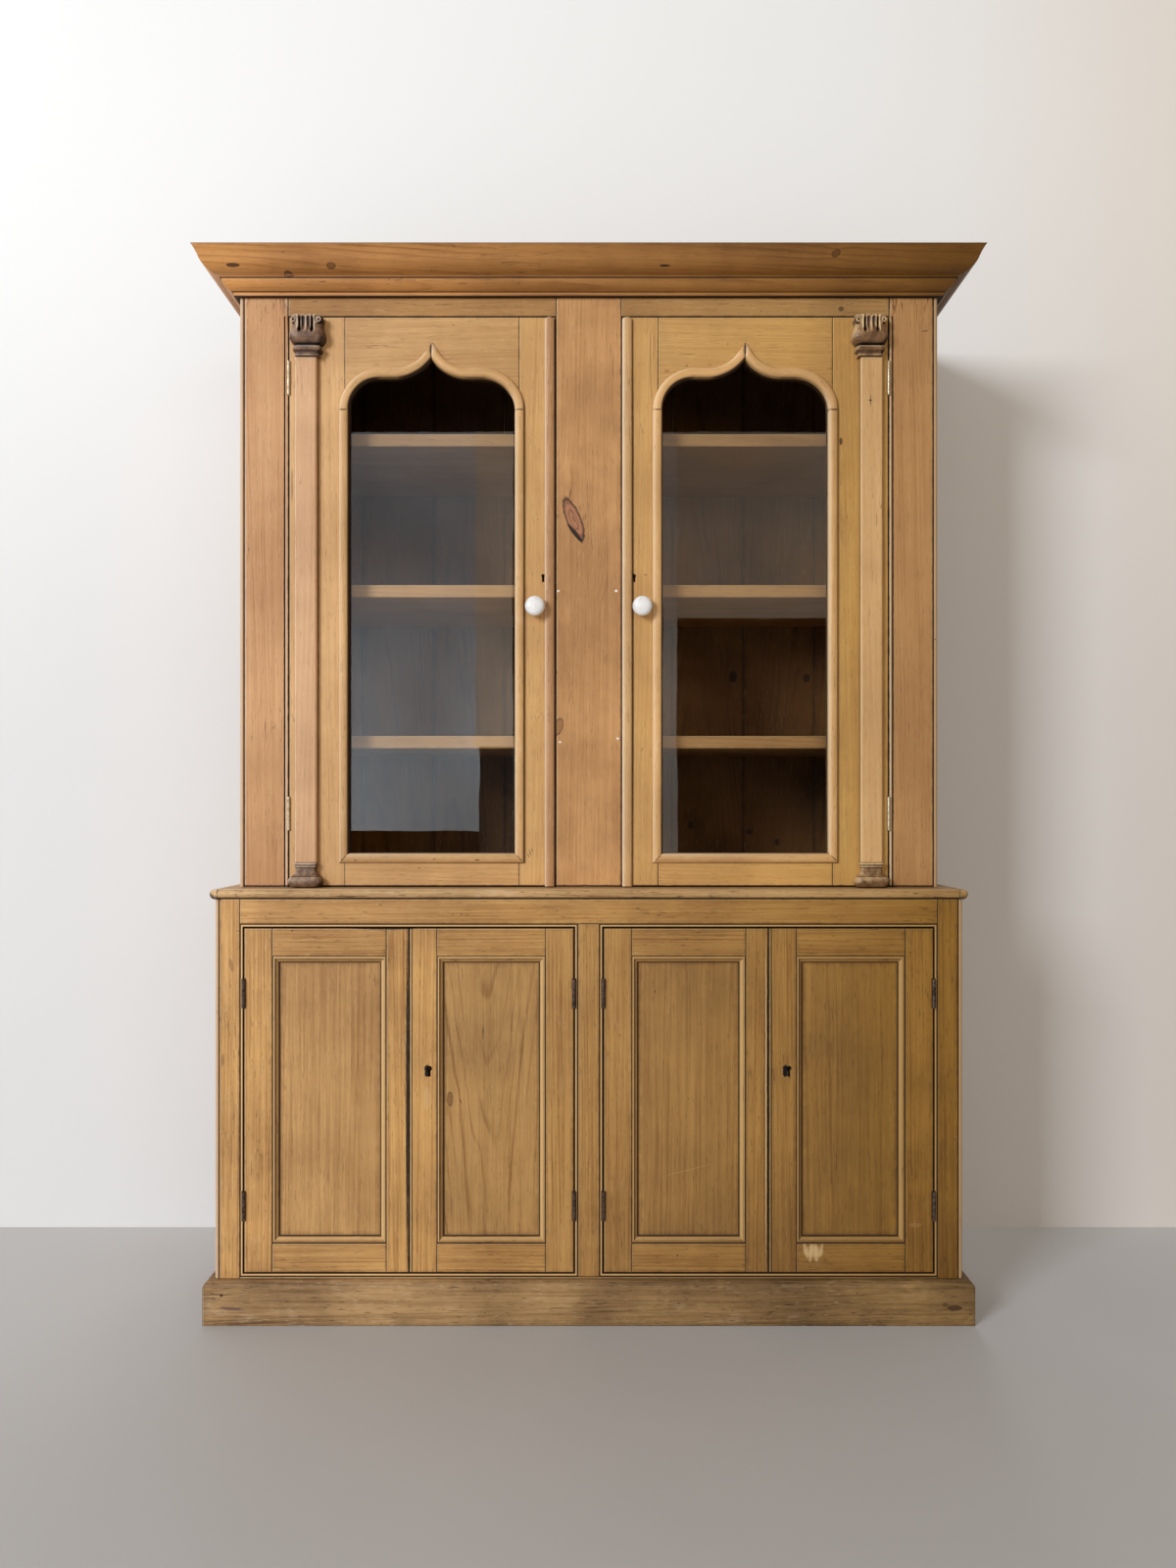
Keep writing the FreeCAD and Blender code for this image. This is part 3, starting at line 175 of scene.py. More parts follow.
def use_group(tree, group, **sockets):
    """A shader group placed in a tree. A keyword such as ring_width fills the input Ring width."""
    made = place(tree, "ShaderNodeGroup", node_tree=group)
    for keyword, value in sockets.items():
        socket = made.inputs[keyword.replace("_", " ").capitalize()]
        if isinstance(value, bpy.types.NodeSocket):
            tree.links.new(value, socket)
        else:
            socket.default_value = value
    return made.outputs


def parts_of(tree, point):
    """The x, y and z of a point, each as an output."""
    return place(tree, "ShaderNodeSeparateXYZ", {0: point}).outputs


def without(tree, value):
    """What is left of one."""
    return calc(tree, "SUBTRACT", 1.0, value)


def grey(tree, value):
    """A value as a colour."""
    return place(tree, "ShaderNodeCombineColor", {0: value, 1: value, 2: value}).outputs[0]


def towards_right(tree, across, colour, right):
    """Painted light and shade: a colour multiplied by right at the cabinet's right side, less and less towards
    its left side, which lies nearer the window.
    """
    share = place(tree, "ShaderNodeMapRange", {"Value": across, "From Min": -0.8, "From Max": 0.8}).outputs[0]
    return blend(tree, share, colour, (*right, 1.0), "MULTIPLY")


def finish_bump(tree, shader, height, strength, distance):
    """The small relief of a finish."""
    bump = place(tree, "ShaderNodeBump", {"Height": height, "Strength": strength, "Distance": distance})
    tree.links.new(bump.outputs[0], shader["Normal"])


def pine_figure_group():
    """Growth rings round a pith beside the board, fibre streaks and short dark flecks.
    Wood runs along, across and into the board."""
    tree, takes, gives = start_group(
        "pine_figure",
        {"Wood": (0.0, 0.0, 0.0), "Ring width": 0.006, "Taper": 0.03, "Waver": 0.012, "Push": 0.0,
         "Late": 0.25},
        ("Rings", "Fibre", "Flecks"),
    )
    wood = takes["Wood"]
    parts = parts_of(tree, wood)
    slow = calc(tree, "SUBTRACT", noise(tree, stretched(tree, wood, 1.3, 8, 8), 1.0, 2.0), 0.5)
    quick = calc(tree, "SUBTRACT", noise(tree, stretched(tree, wood, 7, 30, 30), 1.0, 1.0), 0.5)
    across = calc(tree, "ADD", parts[1], takes["Push"])
    pith = calc(tree, "SQRT", calc(tree, "ADD", calc(tree, "MULTIPLY", across, across),
                                   calc(tree, "MULTIPLY", parts[2], parts[2])))
    radius = calc(tree, "MULTIPLY_ADD", parts[0], takes["Taper"], pith)
    radius = calc(tree, "MULTIPLY_ADD", slow, takes["Waver"], radius)
    radius = calc(tree, "MULTIPLY_ADD", quick, calc(tree, "MULTIPLY", takes["Waver"], 0.16), radius)
    years = calc(tree, "DIVIDE", radius, takes["Ring width"])
    age = place(tree, "ShaderNodeCombineXYZ", {0: calc(tree, "MULTIPLY", years, 0.35)}).outputs[0]
    drift = noise(tree, age, 1.0, 1.0)
    season = calc(tree, "FRACT", calc(tree, "MULTIPLY_ADD", drift, 2.2, years))
    late = calc(tree, "MULTIPLY", ramp(tree, season, takes["Late"], 0.88), ramp(tree, season, 1.0, 0.93))
    broken = noise(tree, stretched(tree, wood, 2.6, 26, 26), 1.0, 2.0)
    late = calc(tree, "MULTIPLY", late, ramp(tree, broken, 0.36, 0.62, 0.15, 1.0))
    tree.links.new(calc(tree, "MULTIPLY", late, ramp(tree, drift, 0.34, 0.62, 0.2, 1.0)), gives["Rings"])
    fine = noise(tree, stretched(tree, wood, 5, 260, 260), 1.0, 3.0, 0.65)
    coarse = noise(tree, stretched(tree, wood, 2.2, 95, 95), 1.0, 2.0, 0.6)
    tree.links.new(calc(tree, "MULTIPLY_ADD", coarse, 0.5, calc(tree, "MULTIPLY", fine, 0.5)), gives["Fibre"])
    dash = noise(tree, stretched(tree, wood, 24, 520, 520), 1.0, 1.0)
    tree.links.new(ramp(tree, dash, 0.66, 0.76), gives["Flecks"])
    return tree


def board_edges_group():
    """How near a board's arris a point is. Low and High are the distances from its lowest and highest corners.
    Worn is a soft band, Line the dark joint, Lit a painted highlight on the arris that looks up or to the
    window, and Sunk painted shade on the side of the board, in the gap between parts, darkest near its front."""
    tree, takes, gives = start_group(
        "board_edges",
        {"Low": (0.0, 0.0, 0.0), "High": (0.0, 0.0, 0.0), "Point": (0.0, 0.0, 0.0),
         "Reach": 0.006, "Joint": 0.0011, "Recess": 0.003},
        ("Worn", "Line", "Lit", "Gap shade"),
    )
    low = parts_of(tree, takes["Low"])
    high = parts_of(tree, takes["High"])
    near = parts_of(tree, vector(tree, "MINIMUM", takes["Low"], takes["High"]))
    small = calc(tree, "MINIMUM", near[0], near[1])
    large = calc(tree, "MAXIMUM", near[0], near[1])
    middle = calc(tree, "MAXIMUM", small, calc(tree, "MINIMUM", large, near[2]))
    rough = noise(tree, takes["Point"], 42.0, 4.0, 0.62)
    band = calc(tree, "MULTIPLY", takes["Reach"], ramp(tree, rough, 0.3, 0.72, 0.4, 1.5))
    tree.links.new(without(tree, ramp(tree, middle, 0.0, band)), gives["Worn"])
    ragged = calc(tree, "MULTIPLY", takes["Joint"], ramp(tree, rough, 0.3, 0.7, 0.75, 1.3))
    clear = ramp(tree, middle, calc(tree, "MULTIPLY", ragged, 0.6), ragged)
    tree.links.new(without(tree, clear), gives["Line"])
    # Lit: a painted highlight, a thin pale line along the arrises nearest the left and the top, which face the
    # window and the light from above
    bright, joint = calc(tree, "MINIMUM", low[0], high[2]), takes["Joint"]
    inside = ramp(tree, bright, calc(tree, "MULTIPLY", joint, 0.7), joint)
    outside = ramp(tree, bright, calc(tree, "MULTIPLY", joint, 2.6), calc(tree, "MULTIPLY", joint, 1.8))
    arris = calc(tree, "MULTIPLY", calc(tree, "MULTIPLY", inside, outside), ramp(tree, near[1], 0.002, 0.0008))
    tree.links.new(calc(tree, "MULTIPLY", arris, ramp(tree, rough, 0.3, 0.55, 0.3, 1.0)), gives["Lit"])
    # painted shade on the side of a board, in the gap between parts: darkest near the front, fading to a little
    # dirt further back
    gap_shade = ramp(tree, near[1], 0.0004, takes["Recess"])
    tree.links.new(calc(tree, "MULTIPLY", gap_shade, ramp(tree, low[1], 0.005, 0.011, 1.0, 0.22)), gives["Gap shade"])
    return tree


def old_surface_group():
    """What is all over an old board: stains and clouds, worm holes, hairline cracks, rubbed patches, and small
    dark chips with pale flakes between them."""
    tree, takes, gives = start_group(
        "old_surface", {"Point": (0.0, 0.0, 0.0), "Wood": (0.0, 0.0, 0.0), "Worm": 0.0},
        ("Stain", "Cloud", "Holes", "Hairs", "Rub", "Chips", "Flakes"),
    )
    point = takes["Point"]
    tree.links.new(ramp(tree, noise(tree, point, 3.2, 4.0, 0.6), 0.32, 0.7), gives["Stain"])
    tree.links.new(noise(tree, stretched(tree, takes["Wood"], 3, 14, 14), 1.0, 3.0, 0.55), gives["Cloud"])
    cells = place(tree, "ShaderNodeTexVoronoi", {"Vector": point, "Scale": 42.0})
    chance = parts_of(tree, cells.outputs["Color"])[0]
    thick = noise(tree, point, 4.5, 2.0)
    often = calc(tree, "MAXIMUM", ramp(tree, thick, 0.46, 0.66), takes["Worm"])
    rare = calc(tree, "MULTIPLY_ADD", takes["Worm"], -0.45, 0.55)
    size = calc(tree, "MULTIPLY", ramp(tree, chance, rare, 1.0, 0.0, 0.085), often)
    tree.links.new(calc(tree, "LESS_THAN", cells.outputs["Distance"], size), gives["Holes"])
    winding = noise(tree, stretched(tree, takes["Wood"], 2.2, 34, 34), 1.0, 3.0, 0.6)
    winding = calc(tree, "ABSOLUTE", calc(tree, "SUBTRACT", winding, 0.56))
    hair = without(tree, ramp(tree, winding, 0.0, 0.006))
    seen = ramp(tree, noise(tree, point, 6.0, 2.0), 0.52, 0.64)
    tree.links.new(calc(tree, "MULTIPLY", hair, seen), gives["Hairs"])
    rubbed = noise(tree, stretched(tree, takes["Wood"], 9, 22, 22), 1.0, 4.0, 0.7)
    tree.links.new(ramp(tree, rubbed, 0.55, 0.75), gives["Rub"])
    grain = noise(tree, stretched(tree, takes["Wood"], 36, 290, 290), 1.0, 2.0, 0.6)
    grain = calc(tree, "MULTIPLY_ADD", noise(tree, point, 7.0, 3.0, 0.6), 0.22, grain)
    grain = calc(tree, "MULTIPLY_ADD", takes["Worm"], 0.09, grain)
    tree.links.new(ramp(tree, grain, 0.745, 0.8), gives["Chips"])
    tree.links.new(ramp(tree, grain, 0.47, 0.42), gives["Flakes"])
    return tree


def knot_group():
    """One knot on a front face: its heart, the rim round it, its rings, and how far it pushes the grain."""
    tree, takes, gives = start_group(
        "knot",
        {"Point": (0.0, 0.0, 0.0), "Centre": (0.0, 0.0, 0.0), "Size": (0.01, 1.0, 0.01), "Turn": 0.0,
         "Across": (1.0, 0.0, 0.0)},
        ("Heart", "Rim", "Rings", "Push"),
    )
    away = vector(tree, "SUBTRACT", takes["Point"], takes["Centre"])
    turned = place(tree, "ShaderNodeVectorRotate", {"Vector": away, "Axis": (0, 1, 0), "Angle": takes["Turn"]},
                   rotation_type="AXIS_ANGLE").outputs[0]
    flat = vector(tree, "MULTIPLY", vector(tree, "DIVIDE", turned, takes["Size"]), (1, 0, 1))
    ragged = calc(tree, "MULTIPLY_ADD", noise(tree, takes["Point"], 120.0, 2.0), 0.3, -0.15)
    far = calc(tree, "ADD", vector(tree, "LENGTH", flat), ragged)
    tree.links.new(without(tree, ramp(tree, far, 0.85, 1.02)), gives["Heart"])
    ring = calc(tree, "ABSOLUTE", calc(tree, "SUBTRACT", far, 1.0))
    tree.links.new(without(tree, ramp(tree, ring, 0.02, 0.16)), gives["Rim"])
    tree.links.new(ramp(tree, calc(tree, "SINE", calc(tree, "MULTIPLY", far, 17.0)), 0.2, 1.0), gives["Rings"])
    fade = without(tree, ramp(tree, far, 0.6, 4.5))
    aside = vector(tree, "DOT_PRODUCT", away, takes["Across"])
    tree.links.new(calc(tree, "MULTIPLY", calc(tree, "MULTIPLY", aside, -0.8), fade), gives["Push"])
    return tree


def mark_group():
    """One dent, nail hole, scratch, crack or speck of paint on a front face, or one painted shadow line or
    highlight.
    """
    tree, takes, gives = start_group(
        "mark",
        {"Point": (0.0, 0.0, 0.0), "Centre": (0.0, 0.0, 0.0), "Size": (0.01, 1.0, 0.01), "Turn": 0.0},
        ("Share",),
    )
    away = vector(tree, "SUBTRACT", takes["Point"], takes["Centre"])
    turned = place(tree, "ShaderNodeVectorRotate", {"Vector": away, "Axis": (0, 1, 0), "Angle": takes["Turn"]},
                   rotation_type="AXIS_ANGLE").outputs[0]
    sway = calc(tree, "MULTIPLY_ADD", noise(tree, takes["Point"], 60.0, 2.0), 0.0022, -0.0011)
    bent = vector(tree, "ADD", turned, place(tree, "ShaderNodeCombineXYZ", {0: sway, 2: sway}).outputs[0])
    flat = vector(tree, "MULTIPLY", vector(tree, "DIVIDE", bent, takes["Size"]), (1, 0, 1))
    ragged = calc(tree, "MULTIPLY_ADD", noise(tree, takes["Point"], 300.0, 2.0), 0.5, -0.25)
    far = calc(tree, "ADD", vector(tree, "LENGTH", flat), ragged)
    tree.links.new(without(tree, ramp(tree, far, 0.65, 1.1)), gives["Share"])
    return tree


def crackle_group():
    """Fine crazing in a glaze and the faint stain that creeps in along it."""
    tree, takes, gives = start_group("crackle", {"Point": (0.0, 0.0, 0.0), "Scale": 260.0}, ("Lines", "Stain"))
    cells = place(tree, "ShaderNodeTexVoronoi", {"Vector": takes["Point"], "Scale": takes["Scale"]},
                  feature="DISTANCE_TO_EDGE")
    fade = ramp(tree, noise(tree, takes["Point"], 90.0, 2.0), 0.45, 0.65)
    line = without(tree, ramp(tree, cells.outputs["Distance"], 0.01, 0.05))
    tree.links.new(calc(tree, "MULTIPLY", line, fade), gives["Lines"])
    tree.links.new(noise(tree, takes["Point"], 55.0, 3.0), gives["Stain"])
    return tree


def tarnish_group():
    """Blotches of tarnish or rust, pits and fine file marks on old metal."""
    tree, takes, gives = start_group(
        "tarnish", {"Point": (0.0, 0.0, 0.0), "Scale": 140.0}, ("Blotch", "Pits", "Marks"))
    blotch = noise(tree, takes["Point"], takes["Scale"], 4.0, 0.65)
    tree.links.new(ramp(tree, blotch, 0.36, 0.66), gives["Blotch"])
    tree.links.new(ramp(tree, noise(tree, takes["Point"], 900.0, 2.0), 0.6, 0.75), gives["Pits"])
    tree.links.new(noise(tree, stretched(tree, takes["Point"], 900, 900, 60), 1.0, 2.0), gives["Marks"])
    return tree


PINE_FIGURE = pine_figure_group()
BOARD_EDGES = board_edges_group()
OLD_SURFACE = old_surface_group()
KNOT = knot_group()
MARK = mark_group()
CRACKLE = crackle_group()
TARNISH = tarnish_group()

# one dark brown for holes, cracks, joints and dirt, and for painted shade in quirks, hollows and gaps
DIRT_AND_SHADE = (38, 22, 12)
UPRIGHT = (1.0, 0.0, 0.0)
LEVEL = (0.0, 0.0, 1.0)


def new_material(name, **plain):
    """A material with its Principled shader, plain values set on the shader's own sockets."""
    material = bpy.data.materials.new(name)
    material.use_nodes = True
    tree = material.node_tree
    tree.nodes.clear()
    shader = place(tree, "ShaderNodeBsdfPrincipled", plain)
    place(tree, "ShaderNodeOutputMaterial", {"Surface": shader.outputs[0]})
    return material, tree, shader.inputs


def attribute(tree, name, output="Vector"):
    """What a board's row says at a point."""
    return place(tree, "ShaderNodeAttribute", attribute_name=name).outputs[output]


def here(tree):
    """The point itself, in metres from the cabinet's origin."""
    return place(tree, "ShaderNodeTexCoord").outputs["Object"]


def pine(name, pale, deep, dark, ring=0.006, taper=0.03, waver=0.012, late=0.25, figure=0.55, fibre=0.5,
         flecks=0.35, stain=0.3, grime=0.3, reach=0.006, joint=0.0011, line=0.7, lit=0.5, gap_shade=0.0,
         worn_and_highlight=(232, 198, 154), chips=0.3, worm=None, hairs=0.5, rub=0.0, right=(1.0, 1.0, 1.0), knots=(),
         marks=(), across=UPRIGHT, gloss=0.42):
    """Old waxed pine. Pale and deep are the tones between its rings and in them, dark its stain, worn the pale
    tone of its rubbed arrises and of its painted highlights. Ring, taper, waver and late shape its rings. Reach
    and joint are the widths of the dirt and of the gap along an arris, in metres. Figure, fibre, flecks, stain,
    grime, line, lit, sunk, chips, hairs and rub say how strongly each effect shows; lit is a painted highlight
    on the arrises that face up or to the window, and sunk painted shade on the sides of thin boards, in the
    gaps between
    parts. Right is painted shade: it multiplies the tone at the cabinet's right side, which lies away from the
    window. Worm holes set in between the two heights of worm. Knots and marks are (x, z, half width, half
    height, turn, share, tone) in millimetres and degrees; some marks are painted shadow lines and highlights.
    Across is the way that grain yields to a knot."""
    material, tree, shader = new_material(name, **{"Specular IOR Level": 0.35})
    wood, point = attribute(tree, "wood"), here(tree)
    where = parts_of(tree, point)
    push, dark_and_shade, grown = 0.0, 0.0, []
    for x, z, half_width, half_height, turn, share, knot_tone in knots:
        knot = use_group(tree, KNOT, point=point, centre=(x * MM, 0.0, z * MM), turn=math.radians(turn),
                         size=(half_width * MM, 1.0, half_height * MM), across=across)
        push = calc(tree, "ADD", push, knot["Push"])
        rim = calc(tree, "MULTIPLY", knot["Rim"], min(0.85, share))
        grown.append((calc(tree, "MULTIPLY", knot["Heart"], share), knot["Rings"], rim, knot_tone))
    figured = use_group(
        tree, PINE_FIGURE, wood=wood, ring_width=ring, taper=taper, waver=waver, push=push, late=late)
    low, high = attribute(tree, "low"), attribute(tree, "high")
    edges = use_group(tree, BOARD_EDGES, low=low, high=high, point=point, reach=reach, joint=joint)
    front_half = calc(tree, "LESS_THAN", parts_of(tree, low)[1], parts_of(tree, high)[1])
    worm_here = ramp(tree, where[2], worm[0] * MM, worm[1] * MM) if worm else 0.0
    old = use_group(tree, OLD_SURFACE, point=point, wood=wood, worm=worm_here)

    depth = calc(tree, "MULTIPLY_ADD", figured["Rings"], figure, 0.18)
    depth = calc(tree, "MULTIPLY_ADD", calc(tree, "SUBTRACT", figured["Fibre"], 0.5), fibre, depth)
    depth = calc(tree, "MULTIPLY_ADD", calc(tree, "SUBTRACT", old["Cloud"], 0.5), stain, depth, clamp=True)
    colour = blend(tree, depth, tone(*pale), tone(*deep))
    shade = calc(tree, "MULTIPLY_ADD", attribute(tree, "tint", "Fac"), 0.16, 0.92)
    colour = blend(tree, 1.0, colour, grey(tree, shade), "MULTIPLY")
    colour = blend(tree, calc(tree, "MULTIPLY", old["Stain"], stain), colour, tone(*dark), "MULTIPLY")
    if rub:
        colour = blend(tree, calc(tree, "MULTIPLY", old["Rub"], rub), colour, tone(*worn_and_highlight))
    if grime:
        colour = blend(tree, calc(tree, "MULTIPLY", edges["Worn"], grime), colour, tone(*dark), "MULTIPLY")
    # painted highlight: the left and top arrises are laid in the pale tone
    colour = blend(tree, calc(tree, "MULTIPLY", edges["Lit"], lit), colour, tone(*worn_and_highlight))
    colour = blend(tree, calc(tree, "MULTIPLY", figured["Flecks"], flecks), colour, tone(*dark), "MULTIPLY")
    colour = blend(tree, calc(tree, "MULTIPLY", old["Flakes"], chips * 0.5), colour, tone(*worn_and_highlight))
    often = calc(tree, "MULTIPLY_ADD", worm_here, 0.6, chips)
    colour = blend(tree, calc(tree, "MULTIPLY", old["Chips"], often), colour, tone(*dark))
    for heart, rings, rim, knot_tone in grown:
        colour = blend(tree, heart, colour, tone(*knot_tone))
        ringed_heart = calc(tree, "MULTIPLY", calc(tree, "MULTIPLY", heart, rings), 0.55)
        colour = blend(tree, ringed_heart, colour, tone(*dark), "MULTIPLY")
        dark_and_shade = calc(tree, "MAXIMUM", dark_and_shade, rim)
    light_and_dirt_relief = attribute(tree, "relief", "Fac")
    # high relief is laid in the pale tone: rubbed wear and painted highlight
    colour = blend(tree, calc(tree, "MULTIPLY", ramp(tree, light_and_dirt_relief, 0.55, 0.95), 0.8), colour, tone(*worn_and_highlight))
    # painted shade: the tone darkens towards the cabinet's right side, away from the window
    colour = towards_right(tree, where[0], colour, right)
    for x, z, half_width, half_height, turn, share, mark_tone in marks:
        mark = use_group(tree, MARK, point=point, centre=(x * MM, 0.0, z * MM), turn=math.radians(turn),
                         size=(half_width * MM, 1.0, half_height * MM))
        seen = calc(tree, "MULTIPLY", mark["Share"], calc(tree, "MULTIPLY", front_half, share))
        colour = blend(tree, seen, colour, tone(*mark_tone))
    pits = calc(tree, "MULTIPLY", old["Holes"], 0.8)
    cracks = calc(tree, "MULTIPLY", old["Hairs"], hairs)
    dark_and_shade = calc(tree, "MAXIMUM", dark_and_shade, calc(tree, "MAXIMUM", pits, cracks))
    dark_and_shade = calc(tree, "MAXIMUM", dark_and_shade, calc(tree, "MULTIPLY", edges["Line"], line))
    # low relief is laid dark: dirt and painted shade in quirks and hollows
    dark_and_shade = calc(tree, "MAXIMUM", dark_and_shade, calc(tree, "MULTIPLY", ramp(tree, light_and_dirt_relief, 0.45, 0.08), 0.93))
    # painted shade on the sides of thin boards, where they show in the gaps between parts
    if gap_shade:
        thin = calc(tree, "MULTIPLY", edges["Gap shade"], attribute(tree, "thin", "Fac"))
        dark_and_shade = calc(tree, "MAXIMUM", dark_and_shade, calc(tree, "MULTIPLY", thin, gap_shade))
    # all the dark is laid on at once: holes, cracks, joints, dirt and painted shade
    colour = blend(tree, dark_and_shade, colour, tone(*DIRT_AND_SHADE))
    tree.links.new(colour, shader["Base Color"])

    rough = calc(tree, "MULTIPLY_ADD", old["Stain"], 0.12, gloss)
    rough = calc(tree, "MULTIPLY_ADD", figured["Fibre"], 0.12, rough)
    tree.links.new(calc(tree, "MAXIMUM", rough, calc(tree, "MULTIPLY", dark_and_shade, 0.8)), shader["Roughness"])
    height = calc(tree, "MULTIPLY_ADD", figured["Rings"], -0.35, calc(tree, "MULTIPLY", figured["Fibre"], 0.5))
    height = calc(tree, "MULTIPLY_ADD", figured["Flecks"], -0.5, height)
    height = calc(tree, "MULTIPLY_ADD", dark_and_shade, -1.6, height)
    finish_bump(tree, shader, height, 0.35, 0.0006)
    return material


def carving_material():
    """Dark stained carving, rubbed paler and given painted highlights on its high parts, and laid black in the
    gouges with dirt and painted shade.
    """
    material, tree, shader = new_material("dark_carving", **{"Specular IOR Level": 0.4})
    point, relief = here(tree), attribute(tree, "relief", "Fac")
    mottle = noise(tree, point, 70.0, 4.0, 0.65)
    streak = noise(tree, stretched(tree, point, 420, 420, 60), 1.0, 3.0, 0.6)
    colour = blend(tree, ramp(tree, mottle, 0.3, 0.7), tone(94, 68, 52), tone(140, 107, 84))
    colour = blend(tree, calc(tree, "MULTIPLY", ramp(tree, streak, 0.5, 0.75), 0.45), colour, tone(66, 46, 34))
    # high relief is laid pale, rubbed wear and painted highlight; low relief black, dirt and painted shade in
    # the gouges
    high = ramp(tree, calc(tree, "MULTIPLY_ADD", mottle, 0.3, relief), 0.68, 1.12, 0.0, 0.9)
    colour = blend(tree, high, colour, tone(220, 194, 170))
    colour = blend(tree, ramp(tree, relief, 0.54, 0.1), colour, tone(20, 12, 8))
    # painted light: the carving turns warmer, with less blue, towards the cabinet's right side, away from the
    # cool window
    colour = towards_right(tree, parts_of(tree, point)[0], colour, (1.12, 1.03, 0.68))
    tree.links.new(colour, shader["Base Color"])
    tree.links.new(ramp(tree, mottle, 0.3, 0.7, 0.34, 0.55), shader["Roughness"])
    height = calc(tree, "MULTIPLY_ADD", streak, 0.5, mottle)
    finish_bump(tree, shader, height, 0.5, 0.0008)
    return material


def glass_material():
    """Old window glass: faintly green, slightly uneven. Lamps light what stands behind it."""
    material, tree, shader = new_material("old_glass", **{
        "Base Color": (0.93, 0.955, 0.95, 1.0), "Metallic": 0.0, "Roughness": 0.0, "IOR": 1.5,
        "Transmission Weight": 1.0})
    wave = noise(tree, stretched(tree, here(tree), 9, 9, 4), 1.0, 2.0)
    finish_bump(tree, shader, wave, 0.25, 0.0005)
    output = next(n for n in tree.nodes if n.type == "OUTPUT_MATERIAL")
    glass = next(n for n in tree.nodes if n.type == "BSDF_PRINCIPLED")
    clear = place(tree, "ShaderNodeBsdfTransparent", {"Color": (0.93, 0.95, 0.95, 1.0)})
    path = place(tree, "ShaderNodeLightPath").outputs
    through = calc(tree, "MAXIMUM", path["Is Shadow Ray"], path["Is Diffuse Ray"])
    mixed = place(tree, "ShaderNodeMixShader", {0: through, 1: glass.outputs[0], 2: clear.outputs[0]})
    tree.links.new(mixed.outputs[0], output.inputs["Surface"])
    return material


def glaze_material():
    """The knobs' white glaze, finely crazed."""
    material, tree, shader = new_material(
        "white_glaze", **{"Coat Weight": 0.6, "Coat Roughness": 0.08, "IOR": 1.5})
    crackle = use_group(tree, CRACKLE, point=here(tree))
    colour = blend(tree, ramp(tree, crackle["Stain"], 0.4, 0.8), tone(246, 245, 243), tone(230, 226, 219))
    colour = blend(tree, calc(tree, "MULTIPLY", crackle["Lines"], 0.45), colour, tone(150, 134, 118))
    tree.links.new(colour, shader["Base Color"])
    tree.links.new(ramp(tree, crackle["Stain"], 0.3, 0.8, 0.1, 0.26), shader["Roughness"])
    finish_bump(tree, shader, crackle["Lines"], 0.15, -0.0002)
    return material


def metal(name, clean_tone, dull_tone, bright, rough, scale=140.0):
    """Old metal: a clean tone where it is rubbed, a dull one where it has tarnished or rusted."""
    material, tree, shader = new_material(name)
    aged = use_group(tree, TARNISH, point=here(tree), scale=scale)
    colour = blend(tree, aged["Blotch"], tone(*clean_tone), tone(*dull_tone))
    tree.links.new(colour, shader["Base Color"])
    tree.links.new(ramp(tree, aged["Blotch"], 0.0, 1.0, bright, bright * 0.55), shader["Metallic"])
    tree.links.new(calc(tree, "MULTIPLY_ADD", aged["Blotch"], 0.25, rough), shader["Roughness"])
    height = calc(tree, "MULTIPLY_ADD", aged["Pits"], -0.8, aged["Marks"])
    finish_bump(tree, shader, height, 0.3, 0.0002)
    return material


# Finishes of the cabinet's parts. Their marks and knots stand where the photo shows them

DARK_KNOT = (84, 52, 32)
# painted shade: the near-black of the gaps where the doors meet and of the painted shadow over doors 1 and 2
GAP_SHADE = (14, 8, 6)
# dark of holes and splits, also of the painted shadow line along the foot of the upper doors
HOLE_AND_SHADOW = (40, 24, 14)
KEYHOLE = (10, 6, 4)
PAINT = (240, 234, 222)
# painted shade: dark lines in quirks, and beside the pilaster and the cover beads
SHADOW_LINE = (62, 34, 18)
# a pale tone for rubbed wear, also the painted highlight on the arrises beside the gaps where the doors meet
SCUFF_AND_HIGHLIGHT = (224, 190, 140)

stile_pine = pine(
    "stile_pine", (211, 160, 110), (170, 111, 63), (125, 77, 43), ring=0.0075, figure=0.28, fibre=1.3,
    stain=0.25, grime=0.2, joint=0.0021, line=0.85, gap_shade=0.9, worm=(2130, 2230), right=(0.73, 0.73, 0.62),
    worn_and_highlight=(240, 208, 176), chips=0.22,
    marks=(
        (738, 2147, 7.5, 1.3, 8, 0.8, HOLE_AND_SHADOW), (-668.2, 2222, 0.9, 44, 0, 0.85, HOLE_AND_SHADOW),
        (668.2, 2222, 0.9, 44, 0, 0.85, HOLE_AND_SHADOW), (-663, 2222, 2.0, 44, 0, 0.4, (236, 202, 168)),
        # painted shade: long dark lines in the quirks of the stile beads beside the doors
        (-668.2, 1560, 1.2, 640, 0, 0.8, SHADOW_LINE), (668.2, 1560, 1.2, 640, 0, 0.85, SHADOW_LINE),
        # a painted shadow line along the foot of the upper doors, above the ledge
        (0, 929.5, 1500, 2.4, 0, 0.9, HOLE_AND_SHADOW),
    ),
)

